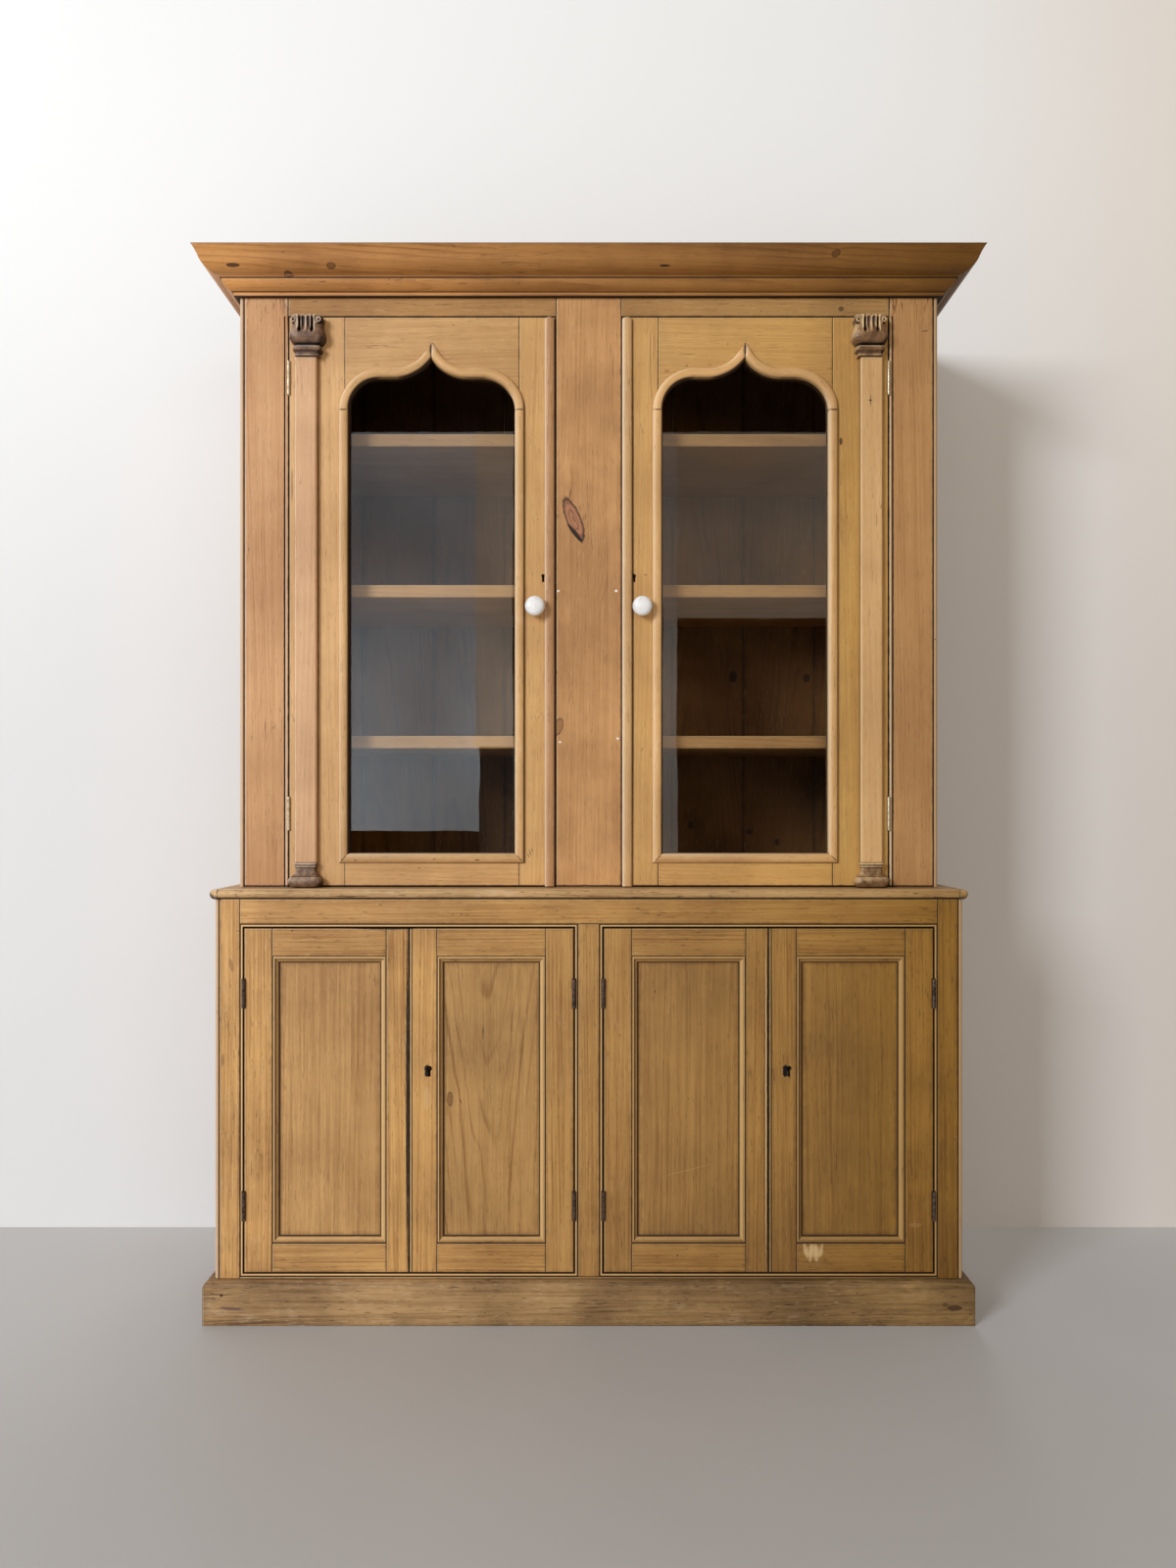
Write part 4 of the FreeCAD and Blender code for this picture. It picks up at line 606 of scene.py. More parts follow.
centre_pine = pine(
    "centre_pine", (211, 160, 104), (163, 107, 54), (115, 69, 35), ring=0.0085, taper=0.02, figure=0.24,
    fibre=1.4, stain=0.4, grime=0.3, joint=0.0016, line=0.7, gap_shade=0.9, worn_and_highlight=(236, 200, 152), chips=0.25,
    knots=(
        (-32.9, 1734, 15, 48, 22, 0.85, (170, 114, 82)), (-66, 1279, 9, 18, -14, 0.65, (150, 98, 56)),
        (-70, 1740, 5, 5, 0, 0.4, (140, 96, 60)),
    ),
    marks=(
        (-29.3, 1703, 5.2, 29, 38, 0.95, (34, 20, 16)), (-41, 1790, 1.0, 14, -6, 0.8, HOLE_AND_SHADOW),
        # the second mark below is a painted shadow line beside the left door's cover bead
        (-33, 1740, 0.9, 34, 24, 0.6, (92, 56, 40)), (-72.5, 1560, 2.0, 640, 0, 0.85, SHADOW_LINE),
        # the first mark below is a painted shadow line along the foot of the upper doors
        (0, 929.5, 1500, 2.4, 0, 0.9, HOLE_AND_SHADOW), (-66.7, 1577, 3, 2.6, 0, 0.9, PAINT),
        (60.2, 1577, 3.2, 3.0, 0, 1.0, PAINT), (-63.2, 1245, 3, 2.6, 0, 0.9, PAINT),
        (64, 1253, 3.4, 2.6, 0, 1.0, PAINT), (-71.4, 1398, 2.2, 8, 0, 0.8, HOLE_AND_SHADOW),
        (-41, 1345, 0.9, 20, -12, 0.6, (112, 66, 36)),
    ),
)

rail_pine = pine(
    "rail_pine", (198, 146, 87), (151, 100, 48), (104, 68, 32), ring=0.010, figure=0.3, fibre=1.1, stain=0.35,
    grime=0.2, line=0.75, gap_shade=0.9, right=(0.81, 0.90, 0.92), across=LEVEL, chips=0.35,
    knots=((554, 2196, 5, 5, 0, 0.7, DARK_KNOT),),
    marks=((-600, 2212, 6, 0.9, 0, 0.7, HOLE_AND_SHADOW),),
)

honey_pine = pine(
    "honey_pine", (226, 181, 126), (182, 129, 76), (139, 93, 53), ring=0.009, figure=0.26, fibre=1.2,
    stain=0.28, grime=0.2, line=0.85, gap_shade=0.95, right=(0.81, 0.75, 0.41), worn_and_highlight=(246, 214, 166), chips=0.3,
    marks=(
        (-372, 968.5, 2.4, 1.6, 20, 0.8, DARK_KNOT), (-129, 1003, 0.8, 8, 18, 0.9, HOLE_AND_SHADOW),
        (-132, 996, 0.8, 5, 22, 0.9, HOLE_AND_SHADOW), (-124, 1008, 0.8, 6, 10, 0.9, HOLE_AND_SHADOW),
        (-297, 2160, 1.8, 1.8, 0, 0.7, DARK_KNOT), (553.5, 1905, 4, 9, 0, 0.8, HOLE_AND_SHADOW),
        (217, 2097, 24, 1.0, 0, 0.6, (120, 76, 40)), (215, 2071, 2.2, 2.0, 0, 0.7, DARK_KNOT),
        (172, 2059, 7, 4, -8, 0.45, (142, 86, 46)), (266, 2073, 6, 1.2, 0, 0.6, DARK_KNOT),
        (99, 1607, 1.1, 10, 4, 0.9, HOLE_AND_SHADOW), (99, 1607, 6.5, 0.9, 8, 0.8, HOLE_AND_SHADOW),
        (125, 1612, 5, 1.0, 0, 0.7, HOLE_AND_SHADOW), (136, 2070, 0.9, 92, 1, 0.65, (120, 76, 40)),
        (142, 2120, 0.8, 48, 0, 0.5, (120, 76, 40)), (-651, 1808, 2.2, 42, 0, 0.45, (96, 58, 34)),
        # painted shadow lines beside the left pilaster and beside the right door's cover bead
        (-593.8, 1520, 2.0, 560, 0, 0.7, SHADOW_LINE), (97.8, 1560, 1.6, 620, 0, 0.7, SHADOW_LINE),
        # a painted shadow line along the foot of the upper doors
        (0, 929.5, 1500, 2.4, 0, 0.9, HOLE_AND_SHADOW),
    ),
)

pilaster_pine = pine(
    "pilaster_pine", (238, 192, 147), (196, 140, 90), (138, 91, 55), ring=0.010, figure=0.2, fibre=0.9,
    stain=0.25, grime=0.15, reach=0.004, joint=0.0012, line=0.8, lit=0.9, right=(0.76, 0.76, 0.58),
    worn_and_highlight=(252, 232, 200), chips=0.2,
    marks=(
        (615.7, 1990.7, 0.9, 15, 0, 0.9, HOLE_AND_SHADOW), (615.7, 1991.5, 5.5, 0.9, 0, 0.8, HOLE_AND_SHADOW),
        (615.7, 1991, 2.2, 2.8, 0, 1.0, HOLE_AND_SHADOW), (-640, 1700, 0.9, 36, 2, 0.5, (150, 96, 58)),
        (-636, 1560, 0.8, 60, -1, 0.4, (150, 96, 58)),
    ),
)

arch_pine = pine(
    "arch_pine", (234, 188, 130), (184, 132, 72), (104, 66, 34), ring=0.008, figure=0.25, fibre=0.8,
    stain=0.3, grime=0.25, reach=0.004, joint=0.0013, line=0.85, lit=0.0, rub=0.2, worn_and_highlight=(252, 224, 188),
    right=(0.9, 0.86, 0.76),
    marks=(
        (-510.5, 986, 4, 1.4, 0, 0.7, HOLE_AND_SHADOW), (-338, 988, 4, 1.4, 0, 0.7, HOLE_AND_SHADOW),
        (-243.5, 987, 5, 1.6, 0, 0.8, HOLE_AND_SHADOW),
    ),
)

pink_bead_pine = pine(
    "pink_bead_pine", (196, 148, 101), (144, 95, 54), (97, 60, 34), ring=0.008, figure=0.25, fibre=0.8,
    stain=0.25, grime=0.2, reach=0.004, line=0.7, lit=0.0, worn_and_highlight=(254, 228, 196),
)

cream_bead_pine = pine(
    "cream_bead_pine", (212, 170, 117), (170, 124, 71), (99, 66, 35), ring=0.008, figure=0.2, fibre=0.8,
    stain=0.25, grime=0.2, reach=0.004, line=0.7, lit=0.0, worn_and_highlight=(255, 238, 210), chips=0.35,
)

cornice_pine = pine(
    "cornice_pine", (222, 158, 89), (164, 105, 49), (112, 61, 26), ring=0.013, taper=0.05, waver=0.04,
    late=0.42, figure=0.6, fibre=1.1, stain=0.4, grime=0.2, reach=0.006, line=0.6, lit=0.3,
    right=(0.27, 0.24, 0.08), worn_and_highlight=(236, 184, 128), across=LEVEL, gloss=0.36, chips=0.25,
    knots=(
        (-762, 2263, 13, 2.8, 0, 0.9, (84, 50, 26)), (-648, 2252, 8.5, 3.6, 0, 0.85, (96, 60, 46)),
        (-552, 2262, 9, 4.2, 0, 0.85, (140, 88, 48)), (163, 2262, 11, 1.4, 0, 0.95, HOLE_AND_SHADOW),
        (527, 2282, 9, 6, 20, 0.75, (150, 98, 50)),
    ),
    marks=((-577, 2242, 9, 0.8, 0, 0.8, HOLE_AND_SHADOW),),
)

cupboard_marks = (
    # nail holes and the long split of the top rails
    (-635, 837, 1.8, 1.8, 0, 0.9, HOLE_AND_SHADOW), (-682, 873.5, 1.5, 1.3, 0, 0.9, HOLE_AND_SHADOW),
    (-691.7, 868, 1.8, 1.4, 0, 0.9, HOLE_AND_SHADOW), (-750.5, 837, 5.5, 0.9, 0, 0.8, HOLE_AND_SHADOW),
    (-291, 872, 1.6, 1.3, 0, 0.9, HOLE_AND_SHADOW), (-273, 872, 1.8, 1.3, 0, 0.9, HOLE_AND_SHADOW),
    (-260, 871, 1.6, 1.4, 0, 0.9, HOLE_AND_SHADOW), (-446.5, 893, 5, 1.0, 4, 0.7, HOLE_AND_SHADOW),
    (-480.8, 878, 2, 1.4, 0, 0.8, HOLE_AND_SHADOW), (-560, 813.5, 116, 0.8, 0, 0.7, (92, 58, 30)),
    # the rubbed patch at the foot of door 4
    (481, 150, 23, 14, 0, 0.3, SCUFF_AND_HIGHLIGHT), (465, 152, 5, 19, 12, 0.45, SCUFF_AND_HIGHLIGHT), (476, 149, 5, 24, -6, 0.5, SCUFF_AND_HIGHLIGHT),
    (487, 148, 6, 22, 5, 0.5, SCUFF_AND_HIGHLIGHT), (498, 152, 4, 17, -10, 0.4, SCUFF_AND_HIGHLIGHT),
    # painted shade in the gap where each pair of doors meets, and a painted highlight on its arris
    (-389.2, 474, 2.6, 380, 0, 0.95, GAP_SHADE), (-385.6, 474, 1.4, 380, 0, 0.45, SCUFF_AND_HIGHLIGHT),
    (383.5, 474, 2.2, 380, 0, 0.9, GAP_SHADE), (376.4, 474, 1.3, 380, 0, 0.7, SHADOW_LINE),
    (379.7, 474, 1.6, 380, 0, 0.7, SCUFF_AND_HIGHLIGHT),
    # the keyholes and the rubbed wood beside them
    (-346.5, 542, 6.3, 9, 0, 1.0, KEYHOLE), (-346.5, 532, 5.8, 9, 0, 1.0, KEYHOLE),
    (428.5, 535, 3.2, 11, 0, 0.55, SCUFF_AND_HIGHLIGHT), (421.3, 543, 6.2, 7.5, 0, 1.0, KEYHOLE),
    (421.3, 531, 6.2, 7.5, 0, 1.0, KEYHOLE), (421.3, 537, 6.0, 10, 0, 1.0, KEYHOLE),
    (-347, 478, 8, 28, 0, 0.25, SCUFF_AND_HIGHLIGHT),
    # a pale spot on door 4, a painted shadow over doors 1 and 2, two knots in the left stile
    (699, 207, 15, 5, 0, 0.3, (176, 136, 90)), (-447, 842.8, 84, 3.4, -0.6, 0.95, GAP_SHADE),
    (-766, 764, 5, 17, 12, 0.4, DARK_KNOT), (-784, 560, 4, 14, 0, 0.4, DARK_KNOT),
)

lower_pine = pine(
    "lower_pine", (231, 179, 112), (165, 109, 50), (108, 69, 31), ring=0.0072, taper=0.012, waver=0.008,
    late=0.35, figure=0.42, fibre=2.5, stain=0.38, grime=0.25, reach=0.008, joint=0.0012, line=0.85,
    gap_shade=0.97, rub=0.15, worn_and_highlight=(242, 208, 160), right=(0.38, 0.33, 0.12), marks=cupboard_marks, chips=0.45,
)

panel_pine = pine(
    "panel_pine", (221, 172, 111), (155, 104, 51), (107, 69, 34), ring=0.010, taper=0.02, waver=0.02,
    late=0.4, figure=0.34, fibre=1.9, stain=0.34, grime=0.3, reach=0.012, joint=0.001, line=0.8, lit=0.0,
    right=(0.36, 0.31, 0.08), chips=0.35,
    marks=(
        (216, 322, 64, 0.8, 14.5, 0.6, (186, 148, 100)), (535, 592, 1.0, 164, 1, 0.5, (84, 54, 28)),
        (177, 640, 0.8, 50, 0, 0.35, (84, 54, 28)),
    ),
)

figured_panel_pine = pine(
    "figured_panel_pine", (215, 168, 106), (154, 105, 51), (107, 69, 33), ring=0.013, taper=-0.07,
    waver=0.055, late=0.7, figure=0.6, fibre=1.8, stain=0.34, grime=0.3, reach=0.012, joint=0.001, line=0.8,
    lit=0.0, right=(0.46, 0.42, 0.26), chips=0.3,
    knots=((-298, 474, 6, 15, 0, 0.6, (128, 80, 44)),),
    marks=((-276, 470, 1.6, 6, 20, 0.7, DARK_KNOT),),
)

lower_bead_pine = pine(
    "lower_bead_pine", (216, 168, 106), (172, 122, 66), (90, 56, 28), ring=0.008, figure=0.25, fibre=0.9,
    stain=0.3, grime=0.0, joint=0.0003, line=0.0, lit=0.0, right=(0.5, 0.45, 0.28), worn_and_highlight=(246, 206, 150),
    chips=0.5,
)

plinth_pine = pine(
    "plinth_pine", (195, 155, 107), (122, 88, 48), (83, 56, 34), ring=0.009, figure=0.42, fibre=3.0,
    stain=0.55, grime=0.25, reach=0.02, line=0.5, rub=0.3, flecks=0.9, hairs=0.9, across=LEVEL, gloss=0.52,
    right=(0.67, 0.66, 0.51), worn_and_highlight=(212, 188, 156), chips=0.8,
    knots=((778, 38, 14, 5, 0, 0.8, DARK_KNOT), (758, 45, 6, 4, 0, 0.5, DARK_KNOT)),
    marks=(
        (-759.6, 36.7, 27, 4.2, -4, 0.75, (98, 72, 66)), (-786, 66.4, 33, 1.1, 0, 0.85, HOLE_AND_SHADOW),
        (-780, 64.8, 4, 3.4, 0, 0.9, HOLE_AND_SHADOW), (-800, 59, 20, 0.9, 0, 0.7, HOLE_AND_SHADOW),
    ),
)

ledge_pine = pine(
    "ledge_pine", (243, 201, 145), (176, 130, 78), (109, 76, 44), ring=0.010, figure=0.4, fibre=2.8,
    stain=0.35, grime=0.2, line=0.5, rub=0.4, flecks=0.9, hairs=0.9, across=LEVEL, right=(0.53, 0.47, 0.34),
    worn_and_highlight=(244, 218, 184), chips=0.8,
    marks=((-511, 912.5, 46, 0.9, 0, 0.9, HOLE_AND_SHADOW), (-753.6, 915.3, 2, 1.6, 0, 0.9, HOLE_AND_SHADOW)),
)

side_pine = pine(
    "side_pine", (205, 158, 112), (158, 108, 62), (108, 72, 42), ring=0.011, taper=0.06, waver=0.03, late=0.4,
    figure=0.4, fibre=1.1, stain=0.35, grime=0.25, reach=0.01, line=0.5, lit=0.0, worn_and_highlight=(232, 200, 164),
    right=(0.6, 0.54, 0.4),
)

inner_pine = pine(
    "inner_pine", (128, 82, 34), (80, 44, 15), (50, 28, 12), ring=0.011, taper=0.07, waver=0.035, late=0.4,
    figure=0.4, fibre=0.9, stain=0.5, grime=0.5, reach=0.012, line=0.8, lit=0.0, gloss=0.5, chips=0.2,
    knots=(
        (375, 1442, 9, 14, 0, 0.8, HOLE_AND_SHADOW), (566, 1439, 8, 10, 0, 0.7, HOLE_AND_SHADOW), (265, 1057, 7, 9, 0, 0.7, HOLE_AND_SHADOW),
        (418, 1039, 9, 7, 0, 0.7, HOLE_AND_SHADOW), (490, 1013, 6, 8, 0, 0.7, HOLE_AND_SHADOW),
    ),
    marks=(
        # painted light: pale lines where light shows through the gaps between the back boards
        (-218.5, 2060, 1.3, 118, 0, 0.8, (170, 140, 112)), (218.5, 2060, 1.3, 118, 0, 0.8, (170, 140, 112)),
    ),
)

shelf_pine = pine(
    "shelf_pine", (205, 156, 103), (166, 116, 67), (108, 71, 38), ring=0.010, figure=0.4, fibre=0.9,
    stain=0.3, grime=0.2, line=0.3, gloss=0.5, right=(0.64, 0.58, 0.44),
)

carving = carving_material()
old_glass = glass_material()
white_glaze = glaze_material()
old_brass = metal("old_brass", (238, 226, 198), (186, 160, 116), 0.8, 0.34)
black_iron = metal("black_iron", (118, 98, 84), (42, 30, 24), 0.8, 0.4)


# Shapes

def solids_of(node):
    """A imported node's separate solids, each as its corner points and its triangles."""
    mesh = frame["nodes"][node].data
    found, waiting, points, numbers, faces = [], {}, [], {}, []
    for polygon in mesh.polygons:
        face = []
        for corner in polygon.vertices:
            spot = tuple(round(c, 6) for c in mesh.vertices[corner].co)
            if spot not in numbers:
                numbers[spot] = len(points)
                points.append(spot)
            face.append(numbers[spot])
        faces.append(face)
        for start, end in zip(face, face[1:] + face[:1]):
            if waiting.get((end, start)):
                waiting[(end, start)] -= 1
                if not waiting[(end, start)]:
                    del waiting[(end, start)]
            else:
                waiting[(start, end)] = waiting.get((start, end), 0) + 1
        if not waiting:
            found.append((points, faces))
            points, numbers, faces = [], {}, []
    return found


def eased(points, faces, ease, steps=2):
    """A solid with its flat faces joined up and its arrises rounded."""
    shape = bmesh.new()
    corners = [shape.verts.new(point) for point in points]
    for face in faces:
        if len(set(face)) == 3:
            try:
                shape.faces.new([corners[number] for number in face])
            except ValueError:
                continue
    bmesh.ops.dissolve_limit(shape, angle_limit=math.radians(0.6), verts=shape.verts, edges=shape.edges)
    if ease:
        sharp = [edge for edge in shape.edges if len(edge.link_faces) == 2
                 and edge.calc_face_angle_signed(0) > math.radians(32)]
        bmesh.ops.bevel(shape, geom=sharp, offset=ease * MM, segments=steps, profile=0.5, affect="EDGES",
                        clamp_overlap=True)
    shape.verts.index_update()
    made = [tuple(v.co) for v in shape.verts], [[v.index for v in face.verts] for face in shape.faces]
    shape.free()
    return made


def board_record(points, rng, cover=0.0, front_only=False, pith=(0.10, 0.25)):
    """The record of a board at each point: its place along, across and into the wood, the distances from its
    lowest and to its highest corner, its tint, whether it is thin, and a middling relief. Cover is what a
    moulding hides of its edge."""
    lows = [min(p[axis] for p in points) for axis in range(3)]
    highs = [max(p[axis] for p in points) for axis in range(3)]
    sizes = [high - low for low, high in zip(lows, highs)]
    order = sorted(range(3), key=lambda axis: -sizes[axis])
    if front_only:
        face = [p for p in points if p[1] < lows[1] + FACE_DEPTH * MM]
        for axis in (0, 2):
            lows[axis] = min(p[axis] for p in face)
            highs[axis] = max(p[axis] for p in face)
    for axis in (0, 2):
        lows[axis] += cover * MM
        highs[axis] -= cover * MM
    middle = [(low + high) / 2 for low, high in zip(lows, highs)]
    start = rng.uniform(0, 9)
    aside = rng.choice((-1, 1)) * rng.uniform(*pith)
    inward = rng.uniform(0.04, 0.09)
    tint = rng.random()
    thin = 1.0 if sizes[1] < THIN_BOARD * MM else 0.0
    rows = []
    along, across, through = order
    for p in points:
        wood = p[along] + start, p[across] - middle[across] + aside, p[through] - middle[through] + inward
        low = tuple(p[axis] - lows[axis] for axis in range(3))
        high = tuple(highs[axis] - p[axis] for axis in range(3))
        rows.append((wood, low, high, tint, thin, 0.5))
    return rows


def build(name, pieces, body, replaces, smooth=38.0):
    """One object from separate pieces, each (points, faces, rows, material). It rides on a body and replaces
    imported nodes. A row is (wood, low, high, tint, thin, relief), as board_record gives it."""
    points, faces, rows, marks, finishes = [], [], [], [], []
    for piece_points, piece_faces, piece_rows, finish in pieces:
        if finish not in finishes:
            finishes.append(finish)
        base = len(points)
        points += piece_points
        faces += [[base + number for number in face] for face in piece_faces]
        marks += [finishes.index(finish)] * len(piece_faces)
        rows += piece_rows
    mesh = bpy.data.meshes.new(name)
    mesh.from_pydata(points, [], faces)
    for finish in finishes:
        mesh.materials.append(finish)
    mesh.polygons.foreach_set("material_index", marks)
    mesh.polygons.foreach_set("use_smooth", [True] * len(faces))
    for column, label in enumerate(("wood", "low", "high")):
        layer = mesh.attributes.new(label, "FLOAT_VECTOR", "POINT")
        layer.data.foreach_set("vector", [c for row in rows for c in row[column]])
    for column, label in enumerate(("tint", "thin", "relief")):
        layer = mesh.attributes.new(label, "FLOAT", "POINT")
        layer.data.foreach_set("value", [row[column + 3] for row in rows])
    mesh.validate()
    mesh.set_sharp_from_angle(angle=math.radians(smooth))
    made = bpy.data.objects.new(name, mesh)
    bpy.context.scene.collection.objects.link(made)
    weighted = made.modifiers.new("even_shading", "WEIGHTED_NORMAL")
    weighted.keep_sharp = True
    weighted.weight = 80
    plain = bpy.data.meshes.new_from_object(made.evaluated_get(bpy.context.evaluated_depsgraph_get()))
    made.modifiers.clear()
    made.data = plain
    bpy.data.meshes.remove(mesh)
    plain.name = name
    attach(made, body)
    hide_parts(*replaces)


def body_of(node):
    """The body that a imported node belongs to."""
    return frame["nodes"][node]["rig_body"]


def boards(node, finishes, ease=0.8, cover=0.0, front_only=False, pith=(0.10, 0.25), steps=2, tell=None):
    """A node's boards with eased arrises. The finishes are one for all, or one for each solid in turn.
    Tell gives the relief at a point, from 0, laid dark with dirt and painted shade as in a quirk, to 1, laid
    pale with rubbed wear and painted highlight as on a bead, or None on the flat."""
    pieces = []
    for number, (points, faces) in enumerate(solids_of(node)):
        finish = finishes[number] if isinstance(finishes, (list, tuple)) else finishes
        rng = random.Random(node + str(number))
        points, faces = eased(points, faces, ease, steps)
        rows = board_record(points, rng, cover, front_only, pith)
        if tell:
            told = [tell(*(c / MM for c in point)) for point in points]
            rows = [row if relief is None else row[:5] + (relief,) for row, relief in zip(rows, told)]
        pieces.append((points, faces, rows, finish))
    build(node + "_dressed", pieces, body_of(node), [node])


def ringed(sides, rings):
    """The faces of a shell whose points are laid ring on ring, closed at both ends."""
    faces = []
    for ring in range(rings - 1):
        near, far = ring * sides, (ring + 1) * sides
        for side in range(sides):
            after = (side + 1) % sides
            faces.append([near + side, near + after, far + after, far + side])
    faces.append(list(range(sides))[::-1])
    faces.append([(rings - 1) * sides + side for side in range(sides)])
    return faces


def plain_rows(points):
    """The record of a piece that isn't a board: no grain of its own, and far from every arris."""
    return [(point, FAR_IN, FAR_IN, 0.5, 0.0, 0.5) for point in points]


def swept(stations, section, rng):
    """A strip along stations, each (origin, sideways, forward). The section is a closed outline of (u, v) in
    millimetres. Its own coordinates run along the strip."""
    run = [0.0]
    for before, after in zip(stations, stations[1:]):
        run.append(run[-1] + (after[0] - before[0]).length)
    across = [u for u, _ in section]
    ahead = [v for _, v in section]
    start, aside, inward = rng.uniform(0, 9), rng.uniform(0.08, 0.2), rng.uniform(0.04, 0.08)
    tint = rng.random()
    points, rows = [], []
    for (origin, side, front), distance in zip(stations, run):
        for u, v in section:
            points.append(tuple(origin + side * (u * MM) + front * (v * MM)))
            low = (distance, (max(ahead) - v) * MM, (u - min(across)) * MM)
            high = (run[-1] - distance, (v - min(ahead)) * MM, (max(across) - u) * MM)
            rows.append(((distance + start, u * MM + aside, v * MM + inward), low, high, tint, 0.0, 0.5))
    return outward(points, ringed(len(section), len(stations))) + (rows,)


def strip(stations, profile, rng):
    """A swept strip whose profile also tells its relief, as rows of (u, v, relief)."""
    points, faces, rows = swept(stations, [(u, v) for u, v, _ in profile], rng)
    return points, faces, [row[:5] + (profile[number % len(profile)][2],) for number, row in enumerate(rows)]


def weathered(piece, own=0.0):
    """The same piece with its relief painted by the way each point faces: a painted highlight where it looks to
    the window and up, painted shade where it turns right away and where it faces back. Own is the share that
    its own relief keeps."""
    points, faces, rows, finish = piece
    looks = [Vector((0, 0, 0)) for _ in points]
    for face in faces:
        corners = [Vector(points[number]) for number in face]
        area = Vector((0, 0, 0))
        for before, after in zip(corners, corners[1:] + corners[:1]):
            area += before.cross(after)
        for number in face:
            looks[number] += area
    told = []
    for look, row in zip(looks, rows):
        look.normalize()
        lean = -0.82 * look.x + 0.57 * look.z
        lee = max(0.0, min(1.0, (-lean - 0.38) / 0.4))
        light = 0.5 + 0.5 * max(0.0, lean) - 0.5 * lee - 0.3 * max(0.0, look.y)
        light = row[5] + own * (light - 0.5) if own else light * min(1.0, row[5] * 2)
        told.append(max(0.0, min(1.0, light)))
    return points, faces, [row[:5] + (relief,) for row, relief in zip(rows, told)], finish


def outward(points, faces):
    """The same shell with every face turned outwards."""
    shape = bmesh.new()
    corners = [shape.verts.new(point) for point in points]
    for face in faces:
        shape.faces.new([corners[number] for number in face])
    shape.verts.index_update()
    bmesh.ops.recalc_face_normals(shape, faces=shape.faces)
    made = [tuple(v.co) for v in shape.verts], [[v.index for v in face.verts] for face in shape.faces]
    shape.free()
    return made


def flipped(points):
    """The same points on the cabinet's left half."""
    return [(-x, y, z) for x, y, z in points]


def both_doors(pieces):
    """The pieces of the right door, and the same for the left one."""
    left = [(flipped(points), [face[::-1] for face in faces], rows, finish)
            for points, faces, rows, finish in pieces]
    return {"right": pieces, "left": left}


# Glazed doors: mouldings

FRONT = Vector((0, -1, 0))


def station(x, z, side_x, side_z):
    """A place on the glazed door's face, with the ways sideways and to the front."""
    return Vector((x, DOOR_FACE, z)) * MM, Vector((side_x, 0, side_z)), FRONT


def glazing_section():
    """The half-round that laps the frame, with the tongue that runs back to the glass, from the outside in."""
    half = MOULDING_WIDTH / 2
    back = DOOR_FACE - GLASS_FACE
    crown = [(-half * math.cos(math.radians(turn)), MOULDING_RISE * math.sin(math.radians(turn)) ** 0.88)
             for turn in range(0, 181, 12)]
    return crown + [(half, back), (MOULDING_LAP_EDGE, back), (MOULDING_LAP_EDGE, 0.0)]


def arch_stations():
    """The left half of the ogee line, sideways pointing inwards to the glass, cut on the mitre at the apex."""
    stations = []
    for step in range(25):
        turn = math.radians(180 - 90 * step / 24)
        out = math.cos(turn), math.sin(turn)
        x, z = SHOULDER_X + SHOULDER_RADIUS * out[0], SPRING + SHOULDER_RADIUS * out[1]
        stations.append(station(x, z, -out[0], -out[1]))
    for step in range(19):
        turn = math.radians(-90 + REVERSE_SWEEP * step / 18)
        out = math.cos(turn), math.sin(turn)
        x, z = REVERSE_X + REVERSE_RADIUS * out[0], REVERSE_Z + REVERSE_RADIUS * out[1]
        stations.append(station(x, z, out[0], out[1]))
    end = stations[-1][0] / MM
    apex = end.z + (LIGHT_MIDDLE - end.x) * math.tan(math.radians(REVERSE_SWEEP))
    stations.append(station(LIGHT_MIDDLE, apex, 0, -1 / math.cos(math.radians(REVERSE_SWEEP))))
    return stations


def glazing_pieces():
    """The moulding round a pane: two uprights, the bottom and two halves of the arch."""
    section = glazing_section()
    right = 2 * LIGHT_MIDDLE - MOULDING_LEFT
    runs = {
        "left": [station(MOULDING_LEFT, MOULDING_BOTTOM, 1, 1), station(MOULDING_LEFT, SPRING, 1, 0)],
        "right": [station(right, MOULDING_BOTTOM, -1, 1), station(right, SPRING, -1, 0)],
        "bottom": [station(MOULDING_LEFT, MOULDING_BOTTOM, 1, 1), station(right, MOULDING_BOTTOM, -1, 1)],
        "arch": arch_stations(),
    }
    runs["other_arch"] = [
        (Vector((2 * LIGHT_MIDDLE * MM - origin.x, origin.y, origin.z)), Vector((-side.x, 0, side.z)), front)
        for origin, side, front in runs["arch"]]
    pieces = []
    for name, run in runs.items():
        points, faces, rows = swept(run, section, random.Random(name))
        # the outer foot of the half-round is laid dark, painted shade where it meets the frame
        rows = [row[:5] + (0.06 if number % len(section) == 0 else 0.5,) for number, row in enumerate(rows)]
        pieces.append((points, faces, rows, arch_pine))
    return pieces


def glazing_bead_pieces(node):
    """The chamfered beads behind the glass, kept as they are packed."""
    pieces = []
    for number, (points, faces) in enumerate(solids_of(node)[5:]):
        points, faces = eased(points, faces, 0.5)
        pieces.append((points, faces, board_record(points, random.Random(number)), inner_pine))
    return pieces


for side, pieces in both_doors(glazing_pieces()).items():
    node = f"upper_door_{side}_glazing_mouldings"
    # painted highlight and shade on the glazing mouldings by the way they face
    pieces = [weathered(piece) for piece in pieces]
    pieces = pieces + glazing_bead_pieces(node)
    build(node + "_dressed", pieces, f"upper_door_{side}", [node], 50.0)


# Glazed doors: carved blocks. The tables are (height, half width), (height, squareness) and (height, relief).
# The relief tables lay the rims and rounds pale, a painted highlight, and the grooves dark, dirt and painted
# shade

